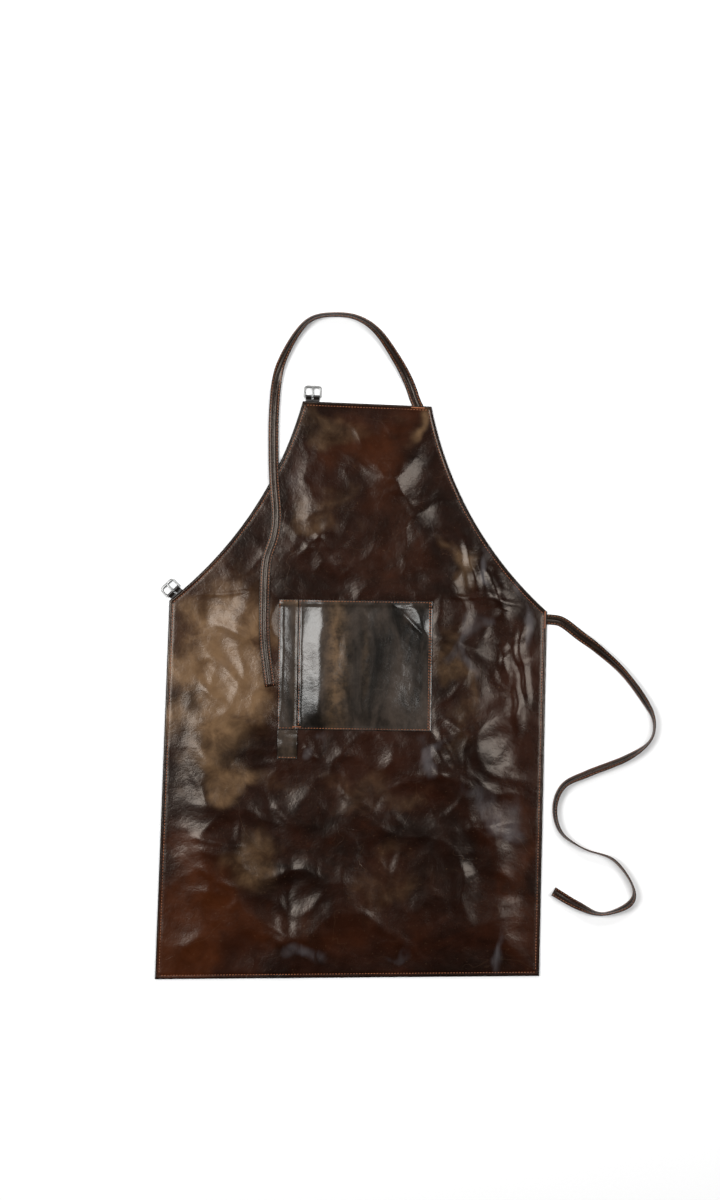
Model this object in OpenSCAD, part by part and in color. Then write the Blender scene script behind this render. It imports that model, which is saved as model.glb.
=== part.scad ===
// Leather apron laid flat, grain side up. One body panel with its edge turned under and
// stitched, a patch pocket beside a pen sleeve, a towel loop, a neck tie and a waist tie
// sewn in on one side, and a tongue buckle on a leather tab for each tie on the other side.
// Millimetres. The apron lies in the XY plane, +Z up, its bib towards +Y. The origin is on
// the table, under the middle of the body and its buckles.

/* [Body] */
// Width across the hem
hem_w = 600; // [500:1:720]
// Width between the waist corners
waist_w = 590; // [480:1:720]
// Width of the bib's top edge
bib_w = 201; // [160:1:250]
// Height from the hem to the waist corners
skirt_h = 580; // [470:1:700]
// Height from the waist corners to the bib's top edge
bib_h = 316; // [260:1:380]
// Depth of the armhole curve behind a straight line from bib to waist
armhole_depth = 30; // [15:1:50]
// Thickness of the body leather
leather_t = 1.8; // [1.4:0.1:2.4]
// Width of the edge that is turned under
hem_turn = 12; // [9:1:18]

/* [Lay on the table] */
// Sideways offset of the waist from the hem
waist_shift = 17.5; // [-30:0.5:30]
// Sideways offset of the bib's top edge from the hem
bib_shift = 31.5; // [-50:0.5:50]
// Turn of the hem line in degrees
hem_tilt = 0.5; // [-3:0.1:3]
// Turn of the waist line in degrees
waist_tilt = -1.7; // [-3:0.1:3]
// Turn of the bib's top edge in degrees
bib_tilt = -2.4; // [-4:0.1:4]

/* [Pocket, pen sleeve and towel loop] */
// Width of the main pocket
pocket_w = 210; // [150:1:260]
// Height of the pocket and the pen sleeve
pocket_h = 203; // [150:1:250]
// Width of the pen sleeve
sleeve_w = 30; // [26:1:45]
// Height of the pocket's bottom seam above the hem
pocket_rise = 386; // [300:1:430]
// Turn of the pocket in degrees
pocket_turn = -0.8; // [-2:0.1:2]
// Thickness of the pocket leather
pocket_t = 1.4; // [1:0.1:2]
// How far the pocket stands off the body
pocket_crown = 8; // [6:0.5:14]
// How far the pen sleeve stands off the body
sleeve_crown = 6.5; // [6:0.5:9]
// Length of the towel loop below the pocket
loop_h = 46; // [40:1:70]
// How far the towel loop stands off the body
loop_crown = 7; // [6:0.5:12]

/* [Ties] */
// Width of both ties
tie_w = 16; // [12:0.5:20]
// Thickness of both ties
tie_t = 1.7; // [1.2:0.1:1.8]
// Length of tie that is sewn in behind the body
tie_root = 22; // [15:1:30]

/* [Buckles] */
// Width of the buckle's opening
buckle_in_w = 22.4; // [18:0.2:28]
// Length of the buckle from its bar to its outer edge
buckle_len = 17; // [14:0.5:24]
// Radius of the bar
bar_r = 1.25; // [1:0.05:1.6]
// Thickness of the buckle frame
frame_t = 2.6; // [2:0.1:3.2]
// Width of the frame's side rails
rail_w = 2.3; // [1.8:0.1:3.5]
// Length of tab between the body's edge and the bar
tab_reach = 8; // [6:0.5:14]
// Length of tab that is sewn in behind the body
tab_root = 20; // [14:1:30]
// Distance of each buckle's middle from its corner of the body
tab_inset = 15; // [14:0.5:30]
// Turn of the waist buckle away from square to the armhole, in degrees
waist_tab_turn = 6; // [-10:1:15]

/* [Stitching] */
// Distance of the edge stitching from the body's edge
edge_row = 6; // [4:0.5:8]
// Width of a row of thread
thread_w = 0.9; // [0.6:0.1:1.2]
// Height that the thread stands above the leather
thread_h = 0.3; // [0.2:0.05:0.5]

/* [Hidden] */

leather_brown = "#46291b";
pocket_leather = "#3a3531";
tie_leather = "#33211a";
tab_leather = "#1b1614";
nickel = "#c9c9cb";
orange_thread = "#a8643a";

// The hem's middle, from the origin
hem_middle = [-6.2, -459.9];

// Heights of the layers: the turned-under edge lies on the table and the body lies on it
body_z = leather_t;
body_top = 2 * leather_t;

// Gaps beside a sewn piece, beside a tie's root, round the buckle's bar and beside its tongue
seam_gap = 0.2;
tie_gap = 1;
bar_play = 0.1;
side_play = 0.3;

// ---------------------------------------------------------------- plan of the body

function heading(angle) = [cos(angle), sin(angle)];
function unit(v) = v / norm(v);
function left_of(v) = [-v[1], v[0]];
function angle_of(v) = atan2(v[1], v[0]);
function level_end(middle, width, tilt, side) = middle + side * width / 2 * heading(tilt);

waist_middle = hem_middle + [waist_shift, skirt_h];
bib_middle = hem_middle + [bib_shift, skirt_h + bib_h];

hem_left = level_end(hem_middle, hem_w, hem_tilt, -1);
hem_right = level_end(hem_middle, hem_w, hem_tilt, 1);
waist_left = level_end(waist_middle, waist_w, waist_tilt, -1);
waist_right = level_end(waist_middle, waist_w, waist_tilt, 1);
bib_left = level_end(bib_middle, bib_w, bib_tilt, -1);
bib_right = level_end(bib_middle, bib_w, bib_tilt, 1);

// Counter-clockwise, so that the body is on the left of every side
body_corners = [hem_left, hem_right, waist_right, bib_right, bib_left, waist_left];
armhole_chords = [[waist_right, bib_right], [bib_left, waist_left]];

function chord_length(chord) = norm(chord[1] - chord[0]);
function armhole_r(chord) =
    (pow(chord_length(chord) / 2, 2) + pow(armhole_depth, 2)) / (2 * armhole_depth);
function armhole_centre(chord) =
    (chord[0] + chord[1]) / 2
    - (armhole_r(chord) - armhole_depth) * left_of(unit(chord[1] - chord[0]));

// A corner moved inwards until it is d from both of its sides
function inset_corner(before, corner, after, d) =
    let (n1 = left_of(unit(corner - before)), n2 = left_of(unit(after - corner)))
    corner + d * (n1 + n2) / (1 + n1 * n2);
function inset(corners, d) =
    let (n = len(corners))
    [for (i = [0:n - 1])
        inset_corner(corners[(i + n - 1) % n], corners[i], corners[(i + 1) % n], d)];

armhole_fn = 180;
module body_shape(d = 0) {
    difference() {
        polygon(inset(body_corners, d));
        for (chord = armhole_chords)
            translate(armhole_centre(chord)) circle(r = armhole_r(chord) + d, $fn = armhole_fn);
    }
}

// ---------------------------------------------------------------- places on the body

// A place is where a sewn-in strap crosses the body's edge, and the way it points
waist_arc_start = unit(left_of(waist_left - armhole_centre(armhole_chords[1])));
neck_tab_place = [bib_left + tab_inset * heading(bib_tilt), bib_tilt + 90];
waist_tab_place = [
    waist_left + tab_inset * waist_arc_start,
    angle_of(waist_arc_start) + 90 + waist_tab_turn
];
neck_tie_inset = 21;
waist_tie_drop = 12.5;
neck_tie_place = [bib_right - neck_tie_inset * heading(bib_tilt), 115];
waist_tie_place = [waist_right + waist_tie_drop * unit(hem_right - waist_right), 0];

module at_place(place, z = 0) {
    translate([place[0][0], place[0][1], z]) rotate([0, 0, place[1] - 90]) children();
}

// Space that a strap takes up behind the body, in the layer of the turned-under edge
module root_space(place, width, root, gap) {
    past_edge = 10;
    at_place(place)
        translate([-width / 2 - gap, -root - gap, -1])
            cube([width + 2 * gap, root + gap + past_edge, body_z + 1]);
}

// ---------------------------------------------------------------- body

module body_panel() {
    color(leather_brown) difference() {
        linear_extrude(body_top) body_shape();
        translate([0, 0, -1]) linear_extrude(body_z + 1) body_shape(hem_turn);
        root_space(neck_tab_place, tab_w, tab_root, seam_gap);
        root_space(waist_tab_place, tab_w, tab_root, seam_gap);
        root_space(neck_tie_place, tie_w, tie_root, tie_gap);
        root_space(waist_tie_place, tie_w, tie_root, tie_gap);
    }
}

module edge_stitching() {
    color(orange_thread)
        translate([0, 0, body_top]) linear_extrude(thread_h) difference() {
            body_shape(edge_row);
            body_shape(edge_row + thread_w);
        }
}

// ---------------------------------------------------------------- pocket, sleeve and loop

// The pocket's own frame: its bottom seam along X, its middle at the origin
patch_w = pocket_w + sleeve_w;
pocket_shift = 11.5;
pocket_corner = hem_middle + [pocket_shift, pocket_rise];
thread_inset = 2.5;

// Flat margins that are sewn down: at the sides of each patch and along the bottom of both
pocket_margin = 6;
sleeve_margin = 3;
bottom_margin = 6;

module at_pocket(z = body_top) {
    translate([pocket_corner[0], pocket_corner[1], z]) rotate([0, 0, pocket_turn]) children();
}

// Stand-off of a patch that is sewn flat round three sides and stands open at its top
function arch(x, width, margin) = max(0, 1 - pow((x - width / 2) / (width / 2 - margin), 2));
function rise(y) = sin(90 * min(1, max(0, y - bottom_margin) / (pocket_h / 3)));
function stand_off(x, y, width, margin, crown) = crown * arch(x, width, margin) * rise(y);

// A sheet over a grid of places, its underside at the stand-off
module domed_patch(width, margin, crown, columns, rows) {
    xs = concat([0], [for (i = [0:columns]) margin + (width - 2 * margin) * i / columns], [width]);
    ys = concat([0], [for (j = [0:rows]) bottom_margin + (pocket_h - bottom_margin) * j / rows]);
    nx = len(xs);
    ny = len(ys);
    sheet = [for (z = [0, pocket_t]) for (y = ys) for (x = xs)
        [x, y, z + stand_off(x, y, width, margin, crown)]];
    over = nx * ny;
    // The grid's rim, once round, starting along the bottom
    rim = concat(
        [for (i = [0:nx - 1]) i],
        [for (j = [1:ny - 1]) j * nx + nx - 1],
        [for (i = [nx - 2:-1:0]) (ny - 1) * nx + i],
        [for (j = [ny - 2:-1:1]) j * nx]
    );
    cells = [for (j = [0:ny - 2]) for (i = [0:nx - 2]) j * nx + i];
    under_faces = [for (k = cells) each [[k, k + 1, k + nx + 1], [k, k + nx + 1, k + nx]]];
    over_faces = [for (face = under_faces) [face[2] + over, face[1] + over, face[0] + over]];
    rim_faces = [for (k = [0:len(rim) - 1])
        let (a = rim[k], b = rim[(k + 1) % len(rim)])
        each [[a, a + over, b + over], [a, b + over, b]]];
    polyhedron(points = sheet, faces = concat(under_faces, over_faces, rim_faces));
}

module pocket_panel() {
    color(pocket_leather)
        at_pocket() translate([sleeve_w - patch_w / 2, 0, 0])
            domed_patch(pocket_w, pocket_margin, pocket_crown, 20, 12);
}

module pen_sleeve() {
    color(pocket_leather)
        at_pocket() translate([-patch_w / 2, 0, 0])
            domed_patch(sleeve_w - seam_gap, sleeve_margin, sleeve_crown, 12, 12);
}

// The loop is an arch between two ends that are sewn flat
loop_w = sleeve_w + 1;
loop_foot = 5;
module towel_loop() {
    half_span = loop_h / 2 - loop_foot;
    r = (pow(half_span, 2) + pow(loop_crown, 2)) / (2 * loop_crown);
    color(pocket_leather)
        at_pocket() translate([-patch_w / 2, -loop_h / 2 - seam_gap, 0])
            rotate([90, 0, 90]) linear_extrude(loop_w) {
                intersection() {
                    difference() {
                        translate([0, loop_crown - r]) circle(r = r + pocket_t, $fn = 96);
                        translate([0, loop_crown - r]) circle(r = r, $fn = 96);
                    }
                    translate([-loop_h / 2, 0]) square([loop_h, loop_crown + 2 * pocket_t]);
                }
                for (side = [-1, 1])
                    translate([side * (loop_h - loop_foot) / 2 - loop_foot / 2, 0])
                        square([loop_foot, pocket_t]);
            }
}

// A dense bar of thread stands a little higher than a row, with its length along X
tack_w = 1.6;
tack_t = 0.5;

// A straight row of thread between two points on the pocket's flat margin
module thread_row(start, end) {
    translate([start[0], start[1], 0]) rotate([0, 0, angle_of(end - start)])
        translate([0, -thread_w / 2, 0]) cube([norm(end - start), thread_w, thread_h]);
}

module pocket_stitching() {
    left = -patch_w / 2 + thread_inset / 2;
    right = patch_w / 2 - thread_inset;
    division = -patch_w / 2 + sleeve_w + thread_inset;
    bottom = thread_inset;
    above_tack = bottom + thread_w + tack_w;
    color(orange_thread) at_pocket(body_top + pocket_t) {
        thread_row([left, pocket_h], [left, bottom]);
        thread_row([left, bottom], [left + sleeve_w - thread_inset, bottom]);
        thread_row([division, pocket_h], [division, above_tack]);
        thread_row([division, bottom], [right, bottom]);
        thread_row([right, bottom], [right, pocket_h]);
        thread_row([right - thread_inset, bottom + thread_w], [right - thread_inset, pocket_h]);
    }
}

module bar_tack(length) {
    translate([-length / 2, 0, 0]) cube([length, tack_w, tack_t]);
}

module sleeve_bar_tack() {
    length = 12;
    color(orange_thread) at_pocket(body_top + pocket_t)
        translate([sleeve_w - patch_w / 2, thread_inset + thread_w / 2, 0]) bar_tack(length);
}

module loop_stitching() {
    inset = 1.5;
    y = thread_inset - loop_h;
    color(orange_thread) at_pocket(body_top + pocket_t)
        thread_row([inset - patch_w / 2, y], [loop_w - inset - patch_w / 2, y]);
}

// ---------------------------------------------------------------- ties

// How high a tie lies where it crosses the body
on_body = body_top + thread_h + 0.2;

// A route is a list of [x, y, lean, height]. The lean turns the tie on edge, in degrees, and
// the height is that of the surface under it. A route starts where the tie has left the body,
// and its points follow the root if they are near it.
neck_route = [
    [101, 440, 0, 0], [91, 468, 8, 0], [73, 503, 25, 0], [42, 548, 42, 0],
    [10, 570, 55, 0], [-26, 575, 60, 0], [-60, 569, 58, 0], [-84, 546, 50, 0],
    [-107, 504, 35, 0], [-116, 470, 12, 0], [-120, 425, 0, on_body], [-121, 380, 0, on_body],
    [-120, 320, 0, on_body], [-116, 262, 0, on_body], [-120, 228, 0, on_body],
    [-132, 188, 0, on_body], [-135, 120, 0, on_body], [-134, 60, 0, on_body],
    [-126, -5, 0, on_body]
];
waist_route = [
    [314, 99, 0, 0], [332, 94, 0, 0], [358, 74, 12, 0], [386, 53, 30, 0],
    [425, 17, 50, 0], [458, -27, 55, 0], [473, -60, 80, 0], [466, -91, 86, 0],
    [430, -117, 58, 0], [370, -141, 52, 0], [332, -160, 62, 0], [318, -195, 68, 0],
    [328, -233, 75, 0], [363, -258, 87, 0], [410, -276, 78, 0], [440, -318, 86, 0],
    [434, -345, 64, 0], [392, -360, 80, 0], [354, -347, 42, 0], [316, -325, 30, 0]
];

rings_per_leg = 2;
root_follow = 5;

function follow(i) = max(0, 1 - i / root_follow);
function moved(route, near, far) =
    [for (i = [0:len(route) - 1])
        let (step = follow(i) * near + (1 - follow(i)) * far)
        route[i] + [step[0], step[1], 0, 0]];

// A smooth curve through four points, between the second and the third
function smooth(a, b, c, d, t) =
    (2 * b + (c - a) * t + (2 * a - 5 * b + 4 * c - d) * t * t
    + (3 * b - a - 3 * c + d) * t * t * t) / 2;
function at_index(list, i) = list[min(max(i, 0), len(list) - 1)];
function smoothed(route) =
    [for (i = [0:len(route) - 2]) for (k = [0:rings_per_leg - (i < len(route) - 2 ? 1 : 0)])
        smooth(at_index(route, i - 1), route[i], route[i + 1], at_index(route, i + 2),
            k / rings_per_leg)];

tie_bevel = 0.7;
tie_section = [
    [tie_w / 2, -tie_bevel / 2], [tie_w / 2, tie_bevel / 2],
    [tie_w / 2 - tie_bevel, tie_t / 2], [tie_bevel - tie_w / 2, tie_t / 2],
    [-tie_w / 2, tie_bevel / 2], [-tie_w / 2, -tie_bevel / 2],
    [tie_bevel - tie_w / 2, -tie_t / 2], [tie_w / 2 - tie_bevel, -tie_t / 2]
];

// The tie's section at one point of its route, resting on the surface there
function tie_ring(before, here, after) =
    let (
        along = unit([after[0] - before[0], after[1] - before[1]]),
        side = left_of(along),
        lean = min(90, max(0, here[2])),
        z = max(0, here[3]) + tie_w / 2 * sin(lean) + tie_t / 2 * cos(lean)
    )
    [for (p = tie_section)
        let (out = p[0] * cos(lean) - p[1] * sin(lean), up = p[0] * sin(lean) + p[1] * cos(lean))
        [here[0] + out * side[0], here[1] + out * side[1], z + up]];

module tie(route) {
    n = len(tie_section);
    path = smoothed(route);
    rings = [for (i = [0:len(path) - 1])
        tie_ring(at_index(path, i - 1), path[i], at_index(path, i + 1))];
    last = (len(rings) - 1) * n;
    walls = [for (r = [0:len(rings) - 2]) for (k = [0:n - 1])
        let (a = r * n + k, b = r * n + (k + 1) % n)
        each [[a, b, b + n], [a, b + n, a + n]]];
    caps = [[for (k = [n - 1:-1:0]) k], [for (k = [0:n - 1]) last + k]];
    color(tie_leather)
        polyhedron(points = [for (ring = rings) each ring], faces = concat(walls, caps));
}

// The sewn-in end runs straight back from the place on the edge
function rooted(place, route) =
    let (back = place[0] - tie_root * heading(place[1]))
    concat([[back[0], back[1], 0, 0]], route);

// Where a tie is clear of the body's edge across its whole width
function clear_of(place) = place[0] + tie_w / 2 * heading(place[1]);

// The steps that bring a route's start to the tie's root, the neck tie's tail to the side of
// the pen sleeve and the waist tie's loops to the side of the body
tail_gap = 3.3;
tail_x = pocket_corner[0] - patch_w / 2 - tail_gap - tie_w / 2;
body_right = max(waist_right[0], hem_right[0]);
neck_root_step = clear_of(neck_tie_place) - [neck_route[0][0], neck_route[0][1]];
neck_tail_step = [tail_x - neck_route[len(neck_route) - 1][0], 0];
waist_root_step = clear_of(waist_tie_place) - [waist_route[0][0], waist_route[0][1]];
waist_loops_step = [body_right + tie_w / 2 - waist_route[0][0], 0];

module neck_tie() {
    tie(rooted(neck_tie_place, moved(neck_route, neck_root_step, neck_tail_step)));
}

module waist_tie() {
    tie(rooted(waist_tie_place, moved(waist_route, waist_root_step, waist_loops_step)));
}

// A tack across a tie's root, between the body's edge and the edge stitching
module tie_bar_tack(place, edge_angle, length) {
    from_edge = (edge_row - tack_w) / 2;
    color(orange_thread)
        translate([place[0][0], place[0][1], body_top]) rotate([0, 0, edge_angle])
            translate([0, -from_edge - tack_w, 0]) bar_tack(length);
}

module neck_tie_bar_tack() {
    tie_bar_tack(neck_tie_place, bib_tilt, 20);
}

module waist_tie_bar_tack() {
    tie_bar_tack(waist_tie_place, angle_of(hem_right - waist_right), 26);
}

// ---------------------------------------------------------------- buckles

// A buckle's own frame: the bar along X through the origin, the buckle towards +Y
tab_w = buckle_in_w - 2 * side_play;
tab_t = leather_t / 2;
fold_r = bar_r + bar_play;
bar_z = fold_r + tab_t;
outer_bar_w = 5;
corner_cut = 4.2;
edge_cut = 0.6;
frame_back = 2;
frame_half_w = buckle_in_w / 2 + rail_w;

// The frame droops about the bar until its outer edge rests on the table
droop = asin((bar_z - frame_t / 2) / buckle_len);

tongue_w = 2.6;
tongue_slot_w = tongue_w + 2 * side_play;
tongue_ring_r = 2.2;
tongue_end = buckle_len - 1;
tongue_lift = frame_t / 2 + 0.15;

module at_buckle(place) {
    at_place([place[0] + tab_reach * heading(place[1]), place[1]], bar_z) children();
}

// A profile in YZ, drawn out along X
module across(width) {
    translate([-width / 2, 0, 0]) rotate([90, 0, 90]) linear_extrude(width) children();
}

// A slab's profile with its four long edges taken off
module bevelled_slab(from, to, thickness, cut) {
    half = thickness / 2;
    polygon([
        [from + cut, -half], [to - cut, -half], [to, cut - half], [to, half - cut],
        [to - cut, half], [from + cut, half], [from, half - cut], [from, cut - half]
    ]);
}

module buckle_frame(place) {
    window_end = buckle_len - outer_bar_w;
    color(nickel) at_buckle(place) rotate([-droop, 0, 0]) {
        difference() {
            intersection() {
                linear_extrude(frame_t, center = true) polygon([
                    [-frame_half_w, -frame_back], [frame_half_w, -frame_back],
                    [frame_half_w, buckle_len - corner_cut],
                    [frame_half_w - corner_cut, buckle_len],
                    [corner_cut - frame_half_w, buckle_len],
                    [-frame_half_w, buckle_len - corner_cut]
                ]);
                across(2 * frame_half_w + 1)
                    bevelled_slab(-frame_back, buckle_len, frame_t, edge_cut);
                rotate([90, 0, 0]) linear_extrude(3 * buckle_len, center = true)
                    bevelled_slab(-frame_half_w, frame_half_w, frame_t, edge_cut);
            }
            translate([-buckle_in_w / 2, -frame_back - 1, -frame_t])
                cube([buckle_in_w, window_end + frame_back + 1, 2 * frame_t]);
        }
        rotate([0, 90, 0]) cylinder(r = bar_r, h = buckle_in_w + rail_w, center = true, $fn = 48);
    }
}

module buckle_tongue(place) {
    tip_t = 0.8;
    shank_t = 1.5;
    color(nickel) at_buckle(place) rotate([-droop, 0, 0])
        across(tongue_w) difference() {
            union() {
                circle(r = tongue_ring_r, $fn = 48);
                polygon([
                    [0, 0], [tongue_ring_r, 0], [buckle_len - outer_bar_w, tongue_lift],
                    [tongue_end, tongue_lift], [tongue_end, tongue_lift + tip_t],
                    [buckle_len - outer_bar_w, tongue_lift + shank_t], [0, tongue_ring_r]
                ]);
            }
            circle(r = fold_r, $fn = 48);
        }
}

// The tab is one strip folded round the bar, with a slot in the fold for the tongue
module buckle_tab(place) {
    fold_out = bar_z;
    meet = 5;
    length = tab_reach + tab_root;
    slot_back = 6;
    color(tab_leather) at_buckle(place) difference() {
        across(tab_w) difference() {
            union() {
                circle(r = fold_out, $fn = 64);
                polygon([
                    [0, fold_out], [-meet, 2 * tab_t - fold_out], [-length, 2 * tab_t - fold_out],
                    [-length, -fold_out], [0, -fold_out]
                ]);
            }
            circle(r = fold_r, $fn = 64);
            polygon([[0, fold_r], [0.5 - meet, tab_t - fold_out], [0, tab_t - fold_out]]);
        }
        translate([-tongue_slot_w / 2, -slot_back, -2 * fold_out])
            cube([tongue_slot_w, slot_back + 2 * fold_out, 4 * fold_out]);
    }
}

module neck_buckle_tab() { buckle_tab(neck_tab_place); }
module neck_buckle_frame() { buckle_frame(neck_tab_place); }
module neck_buckle_tongue() { buckle_tongue(neck_tab_place); }
module waist_buckle_tab() { buckle_tab(waist_tab_place); }
module waist_buckle_frame() { buckle_frame(waist_tab_place); }
module waist_buckle_tongue() { buckle_tongue(waist_tab_place); }

body_panel();
edge_stitching();
pocket_panel();
pen_sleeve();
towel_loop();
pocket_stitching();
sleeve_bar_tack();
loop_stitching();
neck_tie();
neck_tie_bar_tack();
waist_tie();
waist_tie_bar_tack();
neck_buckle_tab();
neck_buckle_frame();
neck_buckle_tongue();
waist_buckle_tab();
waist_buckle_frame();
waist_buckle_tongue();
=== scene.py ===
import math
import random

import bmesh
import bpy
import numpy as np
from bpy.props import FloatProperty, FloatVectorProperty, PointerProperty
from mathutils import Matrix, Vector, noise


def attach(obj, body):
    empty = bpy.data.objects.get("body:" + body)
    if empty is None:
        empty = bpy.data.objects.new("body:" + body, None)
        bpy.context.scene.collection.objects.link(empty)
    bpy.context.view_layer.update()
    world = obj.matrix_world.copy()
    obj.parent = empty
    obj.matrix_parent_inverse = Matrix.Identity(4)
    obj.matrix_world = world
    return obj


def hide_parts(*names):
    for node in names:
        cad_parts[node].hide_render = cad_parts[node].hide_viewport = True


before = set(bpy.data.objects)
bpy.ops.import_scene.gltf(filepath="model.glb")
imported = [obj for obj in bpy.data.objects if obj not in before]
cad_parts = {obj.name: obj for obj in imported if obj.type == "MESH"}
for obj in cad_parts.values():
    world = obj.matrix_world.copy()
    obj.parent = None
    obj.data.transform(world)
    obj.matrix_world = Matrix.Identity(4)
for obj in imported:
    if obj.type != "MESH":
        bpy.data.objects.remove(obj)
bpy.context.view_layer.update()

bl_info = {
    "name": "Leather apron",
    "version": (1, 0, 0),
    "blender": (4, 5, 0),
    "location": "3D Viewport > Sidebar > Apron",
    "description": "Builds a leather apron with a pocket, two ties and two buckles, laid flat",
    "category": "Add Mesh",
}

CAMERA_PLACE = (0.0141, 0.1297, 4.427)
CAMERA_LENS = 85
FLOOR_HALF = 6.0
FLOOR_Z = -0.3
WORLD_STRENGTH = 0.03
# Name, place, width and height in metres, and power in watts
LIGHTS = (
    ("Key", (-1.6, 0.35, 2.8), (1.0, 1.6), 88),
    ("Fill", (1.8, 0.1, 2.7), (0.7, 1.9), 58),
    ("Top", (0.35, 2.6, 2.3), (2.2, 0.8), 50),
)
MM = 0.001

# ------------------------------------------------------------------ plan, as in the CAD, in mm

HEM_MIDDLE = np.array((-6.2, -459.9))
HEM_W = 600.0
WAIST_W = 590.0
BIB_W = 201.0
SKIRT_H = 580.0
BIB_H = 316.0
ARMHOLE_DEPTH = 30.0
WAIST_SHIFT = 17.5
BIB_SHIFT = 31.5
HEM_TILT = 0.5
WAIST_TILT = -1.7
BIB_TILT = -2.4

LEATHER_T = 1.8
HEM_TURN = 12.0
EDGE_ROW = 6.0
POCKET_T = 1.4

POCKET_W = 210.0
POCKET_H = 203.0
SLEEVE_W = 30.0
POCKET_ORIGIN = np.array((5.3, -73.9))
POCKET_TURN = -0.8
POCKET_TURNED = 8.0
LOOP_H = 46.0
SEAM_GAP = 0.2
PATCH_W = POCKET_W + SLEEVE_W

TIE_W = 16.0
TIE_T = 1.7
TIE_ROOT = 22.0
NECK_TIE_PLACE = (np.array((104.73, 432.77)), 115.0)
WAIST_TIE_PLACE = (np.array((305.9, 98.85)), 0.0)

NECK_TAB_PLACE = (np.array((-60.125, 439.68)), 87.6)
WAIST_TAB_PLACE = (np.array((-271.752, 138.09)), 134.0146)
TAB_REACH = 8.0
TAB_ROOT = 20.0
TAB_W = 21.8
TAB_T = 0.9
FOLD_R = 1.35
BAR_Z = 2.25


def heading(angle):
    """Unit vector at an angle in degrees."""
    return np.array((math.cos(math.radians(angle)), math.sin(math.radians(angle))))


def left_of(vector):
    return np.array((-vector[1], vector[0]))


def unit(vector):
    return np.asarray(vector, float) / np.linalg.norm(vector)


def level_end(middle, width, tilt, side):
    return middle + side * width / 2 * heading(tilt)


WAIST_MIDDLE = HEM_MIDDLE + (WAIST_SHIFT, SKIRT_H)
BIB_MIDDLE = HEM_MIDDLE + (BIB_SHIFT, SKIRT_H + BIB_H)
HEM_LEFT = level_end(HEM_MIDDLE, HEM_W, HEM_TILT, -1)
HEM_RIGHT = level_end(HEM_MIDDLE, HEM_W, HEM_TILT, 1)
WAIST_LEFT = level_end(WAIST_MIDDLE, WAIST_W, WAIST_TILT, -1)
WAIST_RIGHT = level_end(WAIST_MIDDLE, WAIST_W, WAIST_TILT, 1)
BIB_LEFT = level_end(BIB_MIDDLE, BIB_W, BIB_TILT, -1)
BIB_RIGHT = level_end(BIB_MIDDLE, BIB_W, BIB_TILT, 1)

STRAIGHT_SIDES = (
    (HEM_LEFT, HEM_RIGHT), (HEM_RIGHT, WAIST_RIGHT), (BIB_RIGHT, BIB_LEFT), (WAIST_LEFT, HEM_LEFT),
)


def arc_of(start, end):
    """Centre and radius of an armhole's curve, which dips into the body."""
    chord = end - start
    radius = ((np.linalg.norm(chord) / 2) ** 2 + ARMHOLE_DEPTH ** 2) / (2 * ARMHOLE_DEPTH)
    centre = (start + end) / 2 - (radius - ARMHOLE_DEPTH) * left_of(unit(chord))
    return centre, radius


ARMHOLES = {"right": arc_of(WAIST_RIGHT, BIB_RIGHT), "left": arc_of(BIB_LEFT, WAIST_LEFT)}


def along_armhole(side, share):
    """A point on an armhole, from the waist at 0 to the bib at 1."""
    centre, radius = ARMHOLES[side]
    start, end = (WAIST_RIGHT, BIB_RIGHT) if side == "right" else (WAIST_LEFT, BIB_LEFT)
    first = math.atan2(*(start - centre)[::-1])
    last = math.atan2(*(end - centre)[::-1])
    turn = (last - first + math.pi) % (2 * math.pi) - math.pi
    angle = first + share * turn
    return centre + radius * np.array((math.cos(angle), math.sin(angle)))


def side_point(side, s):
    """A point on the body's left or right side: hem at 0, waist at 1, bib at 2."""
    hem, waist = (HEM_RIGHT, WAIST_RIGHT) if side == "right" else (HEM_LEFT, WAIST_LEFT)
    if s <= 1:
        return hem + s * (waist - hem)
    return along_armhole(side, s - 1)


def edge_distance(x, y):
    """How far places lie in from the body's edge."""
    nearest = np.full(np.shape(x), 1e6)
    for start, end in STRAIGHT_SIDES:
        along = unit(end - start)
        nearest = np.minimum(nearest, (y - start[1]) * along[0] - (x - start[0]) * along[1])
    for centre, radius in ARMHOLES.values():
        nearest = np.minimum(nearest, np.hypot(x - centre[0], y - centre[1]) - radius)
    return nearest


def smooth_step(value, low, high):
    t = np.clip((value - low) / (high - low), 0.0, 1.0)
    return t * t * (3 - 2 * t)


def soft_max(a, b, blend):
    return blend * np.logaddexp(a / blend, b / blend)


# ------------------------------------------------------------------ the lie of the leather


def waves(x, y, size, seed, octaves=3):
    """Smooth noise of about -1 to 1, with swells about size mm across."""
    flat = np.zeros(np.size(x))
    for k, (px, py) in enumerate(zip(np.ravel(x), np.ravel(y))):
        flat[k] = noise.fractal(Vector((px / size, py / size, seed)), 1.0, 2.1, octaves)
    return flat.reshape(np.shape(x))


def creased(x, y, size, seed):
    """Sharp wandering crests, 0 to 1, with smooth facets about size mm across between them."""
    bend_x = x + 0.22 * size * waves(x, y, 0.8 * size, seed + 11, 2)
    bend_y = y + 0.22 * size * waves(x, y, 0.8 * size, seed + 17, 2)
    return (1 - np.minimum(1, np.abs(waves(bend_x, bend_y, size, seed, 1)) / 0.42)) ** 1.3


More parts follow.
